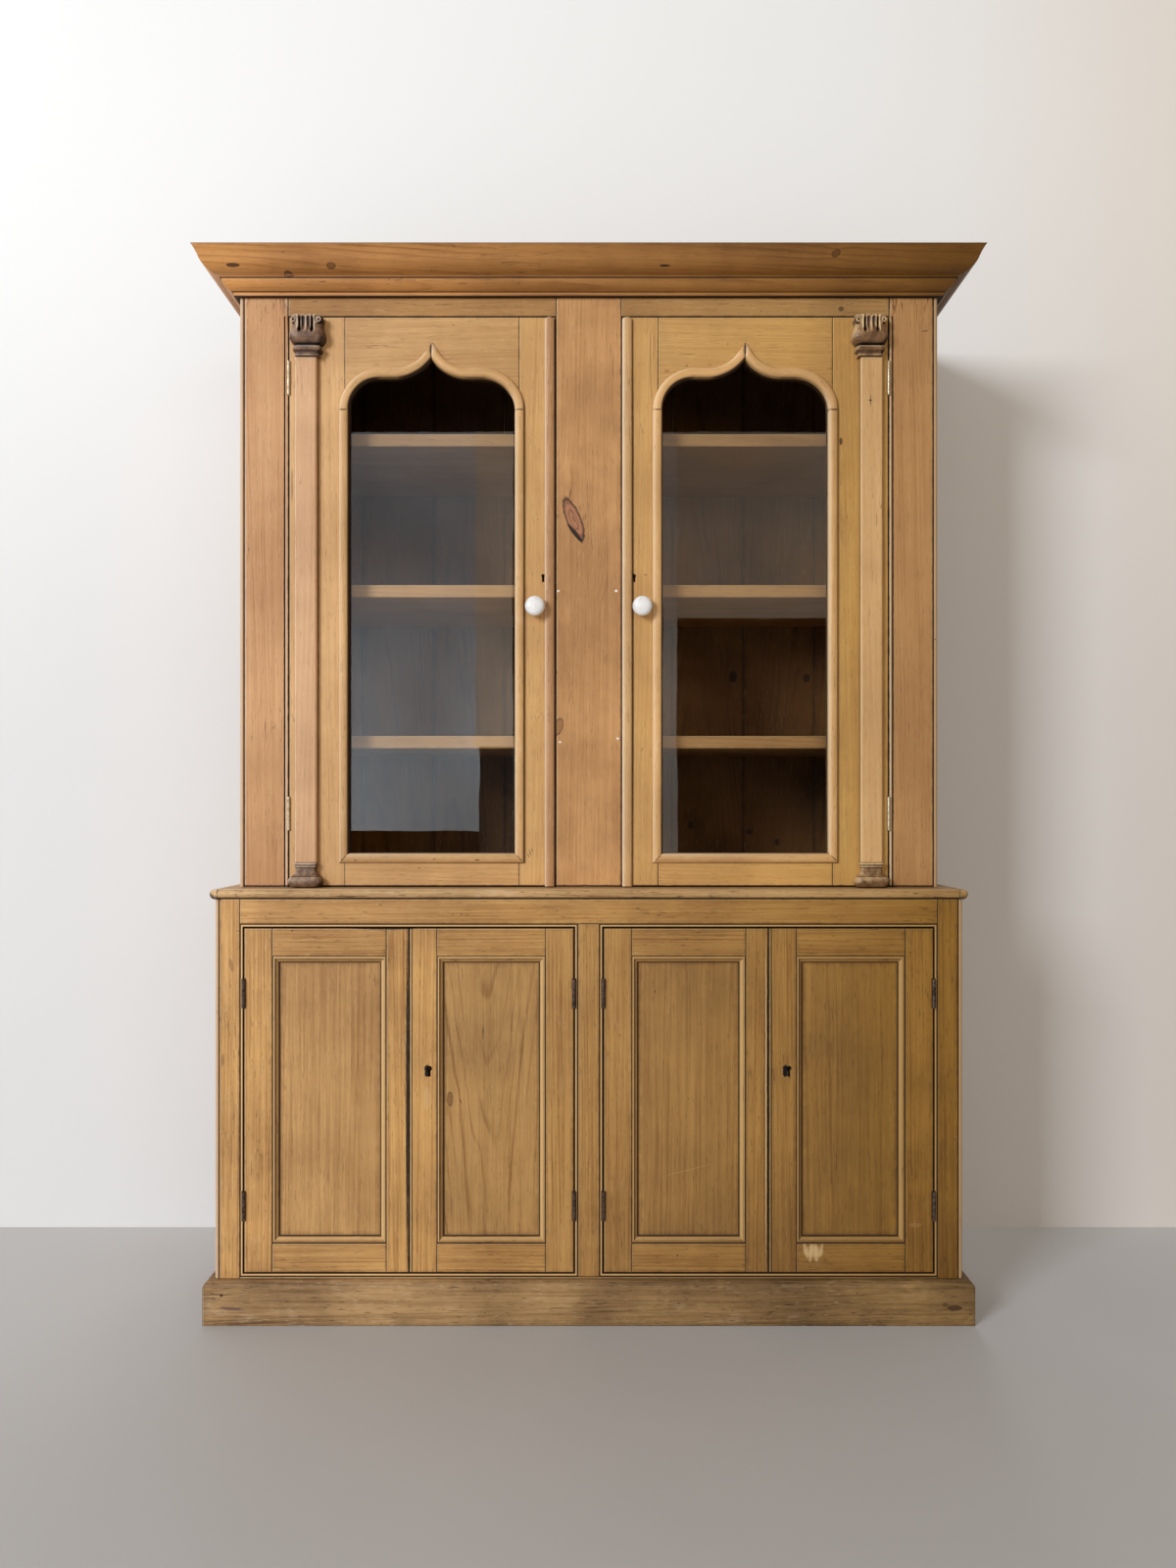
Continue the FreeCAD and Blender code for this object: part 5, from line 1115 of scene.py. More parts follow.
def interpolate(table, height):
    """A value between the rows (height, value) of a short profile."""
    for (low, first), (high, second) in zip(table, table[1:]):
        if height <= high:
            share = (height - low) / max(high - low, 1e-9)
            return first + (second - first) * max(0.0, min(1.0, share))
    return table[-1][1]


def cushion_outline(half, depth, squareness, count):
    """Half a rounded rectangle standing on the door, as evenly spaced (x, y)."""
    power, dense, run = 2 / squareness, [], [0.0]
    for step in range(181):
        angle = math.pi * step / 180
        across = math.copysign(abs(math.cos(angle)) ** power, math.cos(angle))
        dense.append((half * across, depth * max(0.0, math.sin(angle)) ** power if 0 < step < 180 else 0.0))
    for before, after in zip(dense, dense[1:]):
        run.append(run[-1] + math.dist(before, after))
    made, step = [], 0
    for number in range(count):
        goal = run[-1] * number / (count - 1)
        while step < 179 and run[step + 1] < goal:
            step += 1
        share = (goal - run[step]) / (run[step + 1] - run[step])
        made.append(tuple(first + (last - first) * share for first, last in zip(dense[step], dense[step + 1])))
    return made


def carved(profile, squareness, height, carve, levels, turns):
    """A block standing on the door. Carve(x, z) says how deep it is cut, how far it is lifted, its relief."""
    points, relief = [], []
    for level in range(levels):
        z = height * level / (levels - 1)
        half = interpolate(profile, z)
        depth = max(4.0, half - BLOCK_LOSS)
        for x, y in cushion_outline(half, depth, interpolate(squareness, z), turns):
            cut, lift, told = carve(x, z)
            reach = max(0.0, min(1.0, y / depth)) ** 0.5
            points.append((x * (1 - 0.004 * cut), -(y - cut * reach), z + lift))
            relief.append(max(0.0, min(1.0, told)))
    return points, ringed(turns, levels), relief


def hump(x, centre, half_width, power=2):
    """A rounded bump of height one, squarer with a higher power."""
    return math.exp(-abs((x - centre) / half_width) ** power)


def capital_carve(x, z):
    """Two gouged flutes with drop-shaped feet, leaves between their rims, scrolls in the top corners."""
    cut, lift, told = 0.0, 0.0, interpolate(CAPITAL_TONES, z)
    if z > 40:
        foot = 1 / (1 + math.exp(-(z - 48.5) / 0.9))
        drop = 2.0 + 1.5 * hump(z, 53.0, 4.2)
        swell = min(1.0, max(0.0, (z - 46) / 16))
        arch = 1 / (1 + math.exp((z - 81.5) / 0.8))
        for hand in (-1, 1):
            flute = foot * hump(x, hand * 13.6, drop, 4)
            leaf = swell * arch * hump(x, hand * 5.6, 2.7, 4)
            rim = swell * (hump(x, hand * 10.2, 1.2) + 1.2 * hump(x, hand * 18.0, 1.8))
            cut += 7.5 * flute + 3.4 * leaf - 1.0 * rim
            # painted shade darkens the flutes, leaves and scrolls, and a painted highlight lightens the rims,
            # the middle ridge and the top edge
            told += -0.9 * flute - 0.34 * leaf + 0.34 * rim
        told += 0.34 * swell * hump(x, 0.0, 1.7)
        told += 0.3 * hump(z, 84.5, 1.6)
        scroll = hump(math.hypot(abs(x) - 27.0, (z - 75.0) / 1.15), 0.0, 7.6, 6)
        cut += 4.0 * scroll
        told -= 0.5 * scroll
        if abs(x) < 22:
            lift = -3.0 * max(0.0, (z - 76) / 10) * hump(abs(abs(x) - 6.8), 6.8, 2.0)
    return cut, lift, told


def base_carve(x, z):
    """The base block is only moulded, so nothing is cut. Its relief table lays the rounds pale, a painted
    highlight, and the grooves dark, dirt and painted shade.
    """
    return 0.0, 0.0, interpolate(BASE_TONES, z)


def carving_piece(shape, x, foot):
    """A carved block stood on the door, its foot at a height."""
    points, faces, relief = shape
    points = [((x + px) * MM, (DOOR_FACE + py) * MM, (foot + pz) * MM) for px, py, pz in points]
    points, faces = outward(points, faces)
    return points, faces, [row[:5] + (told,) for row, told in zip(plain_rows(points), relief)], carving


def spiral_piece(x, y, z, hand):
    """A volute: a tapering roll wound one and a half turns, seen from the front."""
    stations = []
    for step in range(48):
        share = step / 47
        turn = math.radians(250 - 560 * share) if hand > 0 else math.radians(-70 + 560 * share)
        reach = 7.2 * (1 - share) ** 0.8 + 0.6
        out = Vector((math.cos(turn), 0, math.sin(turn)))
        thick = 2.3 * (1 - 0.35 * share) + 1.6 * max(0.0, share - 0.75)
        centre = Vector((x, y - 3.0 * share, z)) * MM + out * (reach * MM)
        stations.append((centre, out * thick, FRONT * thick))
    ring = [(math.cos(math.radians(turn)), math.sin(math.radians(turn))) for turn in range(0, 360, 30)]
    points, faces, _ = swept(stations, ring, random.Random(hand))
    rows = [row[:5] + (0.5 + 0.3 * max(0.0, ring[number % len(ring)][1]),)
            for number, row in enumerate(plain_rows(points))]
    return points, faces, rows, carving


CAPITAL_PROFILE = [
    (0, 26.8), (3.2, 26.8), (3.8, 26.0), (5.0, 25.6), (8.5, 26.4), (9.8, 28.4), (10.4, 30.4), (13, 31.3),
    (17, 31.3), (19.4, 30.2), (20.2, 28.6), (21, 26.4), (24.6, 26.0), (25.6, 28.6), (28, 32.2), (32, 36.0),
    (37, 38.4), (42, 39.0), (48, 38.6), (54, 37.0), (60, 35.0), (66, 33.8), (72, 33.8), (78, 34.8),
    (83, 35.2), (86, 34.0),
]
CAPITAL_SQUARE = [(0, 9.0), (25, 8.0), (30, 5.0), (48, 4.4), (64, 5.0), (86, 6.0)]
CAPITAL_TONES = [
    (0, 0.62), (3.2, 0.66), (4.0, 0.3), (8.8, 0.34), (10.5, 0.5), (17.5, 0.54), (19.0, 0.95), (20.2, 0.6),
    (20.9, 0.02), (25.0, 0.0), (26.2, 0.4), (31, 0.5), (50, 0.56), (86, 0.5),
]
BASE_PROFILE = [
    (0, 33.0), (4, 35.4), (9, 37.0), (14, 36.8), (19, 34.8), (22.0, 31.0), (22.8, 29.9), (23.6, 29.6),
    (26, 26.4), (29, 23.8), (32, 22.6), (40.5, 22.4), (41.4, 22.0), (42.2, 23.8), (45.6, 24.2), (46.4, 23.2),
    (47.4, 23.2), (48.0, 25.2), (51.4, 25.4), (52, 25.0),
]
BASE_SQUARE = [(0, 5.0), (24, 6.0), (40, 9.0), (52, 10.0)]
BASE_TONES = [
    (0, 0.4), (6, 0.5), (17, 0.62), (21.5, 0.6), (22.8, 0.2), (24, 0.5), (31, 0.55), (38, 0.6), (40.8, 0.55),
    (41.6, 0.06), (42.3, 0.3), (43.4, 0.8), (45.4, 0.75), (46.4, 0.1), (47.4, 0.12), (48.4, 0.8), (51, 0.85),
    (52, 0.6),
]

capital_shape = carved(CAPITAL_PROFILE, CAPITAL_SQUARE, CAPITAL_HEIGHT, capital_carve, levels=87, turns=101)
base_shape = carved(BASE_PROFILE, BASE_SQUARE, BASE_HEIGHT, base_carve, levels=70, turns=49)
block_pieces = [
    carving_piece(base_shape, PILASTER_MIDDLE, BASE_FOOT),
    carving_piece(capital_shape, CAPITAL_MIDDLE, CAPITAL_FOOT),
]
for hand in (-1, 1):
    x, y, z = CAPITAL_MIDDLE + hand * SCROLL_OUT, DOOR_FACE - SCROLL_AHEAD, CAPITAL_FOOT + SCROLL_UP
    block_pieces.append(spiral_piece(x, y, z, hand))
for side, pieces in both_doors(block_pieces).items():
    node = f"upper_door_{side}_pilaster_blocks"
    # painted highlight and shade on the carved blocks by the way they face, over their own relief
    pieces = [weathered(piece, 0.55) for piece in pieces]
    build(node + "_dressed", pieces, f"upper_door_{side}", [node], 60.0)


# Glazed doors: cover bead, pilaster, knobs, frames. The knob's outline is (radius, distance out)

KNOB_FOOT = [(12.5, 0.0), (12.5, 2.4), (11.6, 3.4), (9.6, 5.2), (9.0, 8.0), (9.6, 10.6), (12.5, 12.6)]
KNOB_UNDER = [(16.5, 14.6), (19.6, 17.0), (21.2, 19.6), (21.7, 22.0)]
KNOB_FACE = [
    (21.6, 24.6), (20.9, 27.0), (19.7, 28.9), (18.8, 29.5), (18.3, 30.2), (17.2, 31.4), (14.6, 32.8),
    (11.0, 33.9), (7.0, 34.6), (3.2, 35.0),
]


def cover_pieces():
    """The half-round bead on the lock edge, rounded off at its top."""
    section = []
    for turn in range(0, 181, 10):
        across, ahead = math.cos(math.radians(turn)), math.sin(math.radians(turn))
        section.append((COVER_WIDTH / 2 * across, COVER_RISE * ahead ** 0.8))
    low, high = (corner.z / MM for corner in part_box("upper_door_right_cover_bead"))
    middle = COVER_LEFT + COVER_WIDTH / 2
    stations = [station(middle, low, 1, 0)]
    for share in (0.0, 0.35, 0.65, 0.85, 0.96, 1.0):
        size = math.sqrt(max(0.02, 1 - share * share))
        origin, side, front = station(middle, high - 7 + 7 * share, 1, 0)
        stations.append((origin, side * size, front * size))
    return [swept(stations, section, random.Random("cover")) + (pink_bead_pine,)]


def knob_pieces():
    """The knob, turned about the line straight out of the door, with closed poles at its foot and face."""
    profile, sides = KNOB_FOOT + KNOB_UNDER + KNOB_FACE, 64
    points = []
    for radius, out in profile:
        for side in range(sides):
            turn = 2 * math.pi * side / sides
            x, z = KNOB_X + radius * math.cos(turn), KNOB_Z + radius * math.sin(turn)
            points.append((x * MM, (DOOR_FACE - out) * MM, z * MM))
    faces = ringed(sides, len(profile))[:-2]
    for ring in (0, len(profile) - 1):
        points.append((KNOB_X * MM, (DOOR_FACE - profile[ring][1]) * MM, KNOB_Z * MM))
        for side in range(sides):
            faces.append([ring * sides + side, ring * sides + (side + 1) % sides, len(points) - 1])
    points, faces = outward(points, faces)
    return [(points, faces, plain_rows(points), white_glaze)]


for side, pieces in both_doors(cover_pieces()).items():
    node = f"upper_door_{side}_cover_bead"
    finish = cream_bead_pine if side == "right" else pink_bead_pine
    # painted highlight and shade on the cover beads by the way they face
    pieces = [weathered(piece)[:3] + (finish,) for piece in pieces]
    build(node + "_dressed", pieces, f"upper_door_{side}", [node], 55.0)
for side, pieces in both_doors(knob_pieces()).items():
    node = f"upper_door_{side}_knob"
    build(node + "_dressed", pieces, f"upper_door_{side}", [node], 60.0)


def pilaster_relief(x, y, z):
    """The pilaster's sides are painted dark at the foot, painted shade where they stand against the door."""
    return 0.02 if y > DOOR_FACE - 3 else None


for side in ("left", "right"):
    boards(f"upper_door_{side}_frame", honey_pine, front_only=True)
    boards(f"upper_door_{side}_pilaster", pilaster_pine, ease=1.2, steps=3, tell=pilaster_relief)
    boards(f"upper_door_{side}_knob_bolt", old_brass, ease=0.3)
    boards(f"upper_door_{side}_lock_case", black_iron, ease=0.6)
    boards(f"upper_door_{side}_lock_bolt", old_brass, ease=0.5)
    glass = frame["nodes"][f"upper_door_{side}_glass"]
    glass.data.materials[0] = old_glass


# Relief of beads, nosings and cornice, told at a point in millimetres: high relief is laid pale, rubbed wear
# and painted highlight, low relief dark, dirt and painted shade

UPPER_HALF, LOWER_HALF = 766.0, 801.0
STILE_EDGE, STILE_HEAD = 659.0, 2179.0
MEETING_EDGES = (-384.15, 386.15)
NOSING_RUBBED_AND_LIT, NOSING_SHADED_UNDER = 925.3, 908.4


def bead_relief(offset, depth, bead, quirk):
    """Relief across a bead and its quirk: how far in from the board's edge, and how far back from its face."""
    # the front of the bead is laid pale, rubbed wear and painted highlight, and the quirk dark, dirt and
    # painted shade
    if offset < bead - 0.4 and depth < bead:
        return 0.86 if 0.8 < offset and depth < bead * 0.5 else 0.4
    if offset < bead + quirk + 0.2 and 0.2 < depth < bead:
        return 0.0
    return None


def upper_frame_relief(x, y, z):
    """The bead up each outer stile, beside the door."""
    if STILE_EDGE - 1 < abs(x) < STILE_EDGE + 11 and z < STILE_HEAD:
        return bead_relief(abs(x) - STILE_EDGE, y - DOOR_FACE, 8.0, 1.5)
    return None


def upper_end_relief(x, y, z):
    """The bead on the front edge of a bookcase end."""
    return bead_relief(UPPER_HALF - abs(x), y - DOOR_FACE, 8.5, 1.5)


def lower_end_relief(x, y, z):
    """The bead on the front edge of a cupboard end."""
    return bead_relief(LOWER_HALF - abs(x), y - CUPBOARD_FACE, 8.5, 1.5)


def meeting_relief(x, y, z):
    """The bead on the meeting stile of a pair's right-hand door."""
    for edge in MEETING_EDGES:
        if 0 <= x - edge < 7:
            return bead_relief(x - edge, y - CUPBOARD_FACE, 5.0, 1.2)
    return None


def nosing_relief(x, y, z):
    """Pale on top, rubbed wear with a painted highlight; painted shade underneath; darker at the front corners,
    where the end grain is.
    """
    if z > NOSING_RUBBED_AND_LIT:
        return 0.85
    if z < NOSING_SHADED_UNDER:
        return 0.04
    if abs(x) > LOWER_HALF - 4 and y < CUPBOARD_FACE - 1 and z < 922:
        return 0.2
    return None


def bed_relief(x, y, z):
    """The bed moulding's fillet, laid pale as a painted highlight, with a dark line under and over it."""
    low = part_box("cornice_bed_moulding")[0].z / MM
    if z < low + 6.4:
        return 0.1 if z < low + 0.7 else 0.8
    if z < low + 8.6:
        return 0.12
    return None


def crown_relief(x, y, z):
    """The crown moulding's fillet at its foot, laid pale as a painted highlight, with a dark line under it."""
    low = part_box("cornice_crown")[0].z / MM
    if z < low + 3.9 and y < -200:
        return 0.15 if z < low + 0.5 else 0.85
    return None


# Strips planted round the panels and the pairs of doors, as (u across, v to the front, relief). The relief lays
# the bead tops pale and the quirks dark; the left and top ogees are painted in shade, the right and bottom ones
# painted lit.

COCK_INNER, COCK_OUTER = 22.8, 747.5
COCK_FOOT, COCK_HEAD = 96.0, 852.0
HINGE_CUT = 32.0
COCK_PROFILE = [
    (0, -22, 0.1), (0, -1.0, 0.03), (1.4, -1.5, 0.03), (2.1, -0.8, 0.1), (2.7, -0.2, 0.7), (3.3, 0, 0.9),
    (4.7, 0, 0.9), (5.5, -0.3, 0.65), (6.3, -1.0, 0.12), (7.3, -2.6, 0.03), (7.5, -4, 0.02), (7.5, -22, 0.02),
]
COCK_AT_HINGE = [
    (0, -22, 0.1), (0, -1.0, 0.03), (1.4, -1.5, 0.03), (1.8, -0.8, 0.3), (2.3, -0.2, 0.75), (3.2, 0, 0.8),
    (4.0, -0.3, 0.5), (4.0, -8.5, 0.05), (6.6, -8.5, 0.03), (6.6, -22, 0.02),
]
SHADED_OGEE = [
    (0, 0, 0.05), (0, 8.2, 0.03), (1.5, 8.5, 0.05), (1.9, 8.5, 0.8), (4.4, 8.5, 0.8), (4.8, 7.6, 0.1),
    (5.4, 7.3, 0.2), (8.0, 5.8, 0.24), (8.5, 5.3, 0.42), (11.2, 2.9, 0.48), (11.8, 2.2, 0.1),
    (14.5, 1.0, 0.0), (14.5, 0, 0.0),
]
SHADED_HEAD_OGEE = [
    (0, 0, 0.05), (0, 8.2, 0.05), (1.1, 8.5, 0.1), (1.4, 8.5, 0.8), (4.3, 8.5, 0.8), (4.7, 7.6, 0.15),
    (5.4, 7.3, 0.33), (9.0, 4.6, 0.38), (11.8, 2.5, 0.5), (12.8, 1.7, 0.12), (14.5, 1.0, 0.02),
    (14.5, 0, 0.02),
]
LIT_OGEE = [
    (0, 0, 0.05), (0, 8.2, 0.02), (1.9, 8.5, 0.04), (2.4, 8.5, 0.66), (4.3, 8.5, 0.74), (4.7, 7.7, 0.3),
    (5.3, 7.3, 0.7), (8.0, 5.6, 0.86), (10.9, 2.9, 0.84), (12.0, 2.1, 0.5), (12.7, 1.6, 0.06),
    (14.5, 1.0, 0.02), (14.5, 0, 0.02),
]
LIT_FOOT_OGEE = [
    (0, 0, 0.05), (0, 8.2, 0.02), (2.0, 8.5, 0.03), (2.5, 8.5, 0.56), (4.3, 8.5, 0.6), (4.7, 7.7, 0.2),
    (5.3, 7.3, 0.55), (8.0, 5.6, 0.74), (10.6, 3.1, 0.7), (11.6, 2.3, 0.4), (12.2, 1.9, 0.05),
    (14.5, 1.0, 0.02), (14.5, 0, 0.02),
]


def upright_stations(x, z0, z1, y, side, low=0.0, high=0.0):
    """A strip up one side. Low and high say how far its ends slant inwards for the mitre."""
    return [(Vector((x, y, z)) * MM, Vector((side, 0, slant)), FRONT) for z, slant in ((z0, low), (z1, high))]


def framed_strips(box, y, profiles, name):
    """Four mitred strips round the inside of a rectangle: left, right, bottom and top."""
    x0, x1, z0, z1 = box
    left, right, bottom, top = profiles
    corners = [Vector((x, y, z)) * MM for x, z in ((x0, z0), (x1, z0), (x1, z1), (x0, z1))]
    inwards = Vector((1, 0, 1)), Vector((-1, 0, 1)), Vector((-1, 0, -1)), Vector((1, 0, -1))
    pieces = []
    for (start, end), profile in (((0, 3), left), ((1, 2), right), ((0, 1), bottom), ((3, 2), top)):
        if profile:
            stations = [(corners[start], inwards[start], FRONT), (corners[end], inwards[end], FRONT)]
            rng = random.Random(name + str(start) + str(end))
            pieces.append(strip(stations, profile, rng) + (lower_bead_pine,))
    return pieces


def cock_bead_pieces():
    """The bead round each pair of doors, cut back where a hinge barrel lies in it."""
    pieces = []
    for side in (-1, 1):
        x0, x1 = sorted((side * COCK_INNER, side * COCK_OUTER))
        box = (x0, x1, COCK_FOOT, COCK_HEAD)
        level_ones = (None, None, COCK_PROFILE, COCK_PROFILE)
        pieces += framed_strips(box, CUPBOARD_FACE, level_ones, "cock" + str(side))
        cuts = [height + end for height in IRON_HEIGHTS for end in (-HINGE_CUT, HINGE_CUT)]
        heights = [COCK_FOOT, *cuts, COCK_HEAD]
        for x, way in ((x0, 1), (x1, -1)):
            for number, (z0, z1) in enumerate(zip(heights, heights[1:])):
                profile = COCK_AT_HINGE if number in (1, 3) else COCK_PROFILE
                slants = {0: (1.0, 0.0), 4: (0.0, -1.0)}.get(number, (0.0, 0.0))
                stations = upright_stations(x, z0, z1, CUPBOARD_FACE, way, *slants)
                pieces.append(strip(stations, profile, random.Random(f"cock{x}")) + (lower_bead_pine,))
    return pieces


def panel_moulding_pieces(node):
    """The ogee round a panel. Its left and top strips are painted in shade, its right and bottom ones painted
    lit.
    """
    low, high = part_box(node)
    box = (low.x / MM, high.x / MM, low.z / MM, high.z / MM)
    return framed_strips(box, PANEL_FACE, (SHADED_OGEE, LIT_OGEE, LIT_FOOT_OGEE, SHADED_HEAD_OGEE), node)


# Hinges, screws and nails. Each hinge kind gives its pin's depth, the board's face and its own sizes

UPPER_PIN, LOWER_PIN_OUT, LOWER_PIN_IN = 658.0, 739.0, 31.3
BRASS_HEIGHTS, IRON_HEIGHTS = (1088.0, 2043.6), (248.0, 703.0)
BRASS_KIND = dict(y=-188.0, front=DOOR_FACE, length=75.0, radius=3.25, leaf=20.0)
IRON_KIND = dict(y=-245.5, front=CUPBOARD_FACE, length=63.0, radius=4.0, leaf=18.0)
KNUCKLE_GAP = 0.15
LEAF_NEAR, LEAF_FAR = 0.2, 1.8


def lathe_upright(profile, x, y, z, finish, sides=28):
    """A barrel turned about an upright line, from (radius, height)."""
    points = []
    for radius, height in profile:
        for side in range(sides):
            turn = 2 * math.pi * side / sides
            out_x, out_y = radius * math.cos(turn), radius * math.sin(turn)
            points.append(((x + out_x) * MM, (y + out_y) * MM, (z + height) * MM))
    points, faces = outward(points, ringed(sides, len(profile)))
    return points, faces, plain_rows(points), finish


def plate(low, high, finish):
    """A flat plate between two corners, with eased arrises."""
    corners = [(x, y, z) for x in (low[0], high[0]) for y in (low[1], high[1]) for z in (low[2], high[2])]
    faces = [[0, 1, 3, 2], [4, 6, 7, 5], [0, 4, 5, 1], [2, 3, 7, 6], [0, 2, 6, 4], [1, 5, 7, 3]]
    shape = bmesh.new()
    made = [shape.verts.new(Vector(corner) * MM) for corner in corners]
    for face in faces:
        shape.faces.new([made[number] for number in face])
    bmesh.ops.recalc_face_normals(shape, faces=shape.faces)
    bmesh.ops.bevel(shape, geom=list(shape.edges), offset=0.2 * MM, segments=1, affect="EDGES")
    shape.verts.index_update()
    points, faces = [tuple(v.co) for v in shape.verts], [[v.index for v in face.verts] for face in shape.faces]
    shape.free()
    return points, faces, plain_rows(points), finish


def knuckle(radius, height, capped_low, capped_high):
    """The outline of one knuckle, with a domed end where the pin's head shows."""
    low = [(radius - 0.35, 0.0), (radius, 0.35)]
    if capped_low:
        low = [(radius * 0.45, 0.0), (radius * 0.85, 0.35), (radius, 1.2)]
    high = [(radius, height - 0.35), (radius - 0.35, height)]
    if capped_high:
        high = [(radius, height - 1.2), (radius * 0.85, height - 0.35), (radius * 0.45, height)]
    return low + high


def hinge_pieces(x, y, front, middle, length, radius, leaf, side, finish, of_frame):
    """One leaf of a butt hinge. The frame's has the outer knuckles and the pin, the door's the middle one."""
    base, step = middle - length / 2, length / 3
    barrel, foot = step - 2 * KNUCKLE_GAP, base + KNUCKLE_GAP
    if of_frame:
        pieces = [
            lathe_upright(knuckle(radius, barrel, True, False), x, y, foot, finish),
            lathe_upright(knuckle(radius, barrel, False, True), x, y, foot + 2 * step, finish),
            lathe_upright([(radius * 0.5, 0), (radius * 0.5, length - 2)], x, y, base + 1.0, finish, 16),
        ]
    else:
        pieces = [lathe_upright(knuckle(radius, barrel, False, False), x, y, foot + step, finish)]
    near, far = sorted((x + side * LEAF_NEAR, x + side * LEAF_FAR))
    low, high = (near, front + radius * 0.35, base + 0.1), (far, front + leaf, base + length - 0.1)
    return pieces + [plate(low, high, finish)]


def stud_tree():
    """Geometry nodes: a screw or nail head on every spot. It looks along the spot's aim and is turned at
    random about it."""
    tree = bpy.data.node_groups.new("heads_on_spots", "GeometryNodeTree")
    tree.interface.new_socket("Spots", in_out="INPUT", socket_type="NodeSocketGeometry")
    for label, kind, value in (("Radius", "NodeSocketFloat", 0.003), ("Rise", "NodeSocketFloat", 0.0002),
                               ("Slotted", "NodeSocketBool", True), ("Seed", "NodeSocketInt", 4),
                               ("Finish", "NodeSocketMaterial", None)):
        made = tree.interface.new_socket(label, in_out="INPUT", socket_type=kind)
        if value is not None:
            made.default_value = value
    tree.interface.new_socket("Heads", in_out="OUTPUT", socket_type="NodeSocketGeometry")
    takes, gives = tree.nodes.new("NodeGroupInput").outputs, tree.nodes.new("NodeGroupOutput").inputs
    head = place(tree, "GeometryNodeMeshCylinder",
                 {"Vertices": 14, "Radius": takes["Radius"], "Depth": takes["Rise"]})
    long, wide = calc(tree, "MULTIPLY", takes["Radius"], 3.0), calc(tree, "MULTIPLY", takes["Radius"], 0.26)
    size = place(tree, "ShaderNodeCombineXYZ", {0: long, 1: wide, 2: takes["Rise"]})
    slot = place(tree, "GeometryNodeMeshCube", {"Size": size.outputs[0]})
    lift = place(tree, "ShaderNodeCombineXYZ", {2: calc(tree, "MULTIPLY", takes["Rise"], 0.3)})
    lifted = place(tree, "GeometryNodeTransform",
                   {"Geometry": slot.outputs["Mesh"], "Translation": lift.outputs[0]})
    cut = place(tree, "GeometryNodeMeshBoolean", operation="DIFFERENCE")
    tree.links.new(head.outputs["Mesh"], cut.inputs["Mesh 1"])
    tree.links.new(lifted.outputs[0], cut.inputs["Mesh 2"])
    either = place(tree, "GeometryNodeSwitch", {"Switch": takes["Slotted"], "False": head.outputs["Mesh"],
                                                "True": cut.outputs["Mesh"]}, input_type="GEOMETRY")
    aim = place(tree, "GeometryNodeInputNamedAttribute", {"Name": "aim"}, data_type="FLOAT_VECTOR")
    facing = place(tree, "FunctionNodeAlignEulerToVector", {"Vector": aim.outputs[0]}, axis="Z")
    spin = place(tree, "FunctionNodeRandomValue", {"Seed": takes["Seed"]}, data_type="FLOAT")
    spin.inputs[2].default_value, spin.inputs[3].default_value = -1.5, 1.5
    turn = place(tree, "FunctionNodeRotateEuler",
                 {"Rotation": facing.outputs[0], "Axis": (0, 0, 1), "Angle": spin.outputs[1]},
                 rotation_type="AXIS_ANGLE", space="LOCAL")
    placed = place(tree, "GeometryNodeInstanceOnPoints", {
        "Points": takes["Spots"], "Instance": either.outputs["Output"], "Rotation": turn.outputs[0]})
    real = place(tree, "GeometryNodeRealizeInstances", {"Geometry": placed.outputs[0]})
    dressed = place(tree, "GeometryNodeSetMaterial",
                    {"Geometry": real.outputs[0], "Material": takes["Finish"]})
    tree.links.new(dressed.outputs[0], gives["Heads"])
    return tree


HEADS = stud_tree()


def heads(name, spots, body, finish, radius, rise, slotted=True):
    """Screw or nail heads at spots, each (x, y, z, aim), on one body."""
    mesh = bpy.data.meshes.new(name)
    mesh.from_pydata([tuple(c * MM for c in spot[:3]) for spot in spots], [], [])
    aims = mesh.attributes.new("aim", "FLOAT_VECTOR", "POINT")
    aims.data.foreach_set("vector", [c for spot in spots for c in spot[3]])
    made = bpy.data.objects.new(name, mesh)
    bpy.context.scene.collection.objects.link(made)
    maker = made.modifiers.new("heads", "NODES")
    maker.node_group = HEADS
    values = {"Radius": radius * MM, "Rise": rise * MM, "Slotted": slotted, "Seed": 4, "Finish": finish}
    for item in HEADS.interface.items_tree:
        if item.in_out == "INPUT" and item.name in values:
            maker[item.identifier] = values[item.name]
    plain = bpy.data.meshes.new_from_object(made.evaluated_get(bpy.context.evaluated_depsgraph_get()))
    made.modifiers.clear()
    made.data = plain
    bpy.data.meshes.remove(mesh)
    plain.name = name
    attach(made, body)


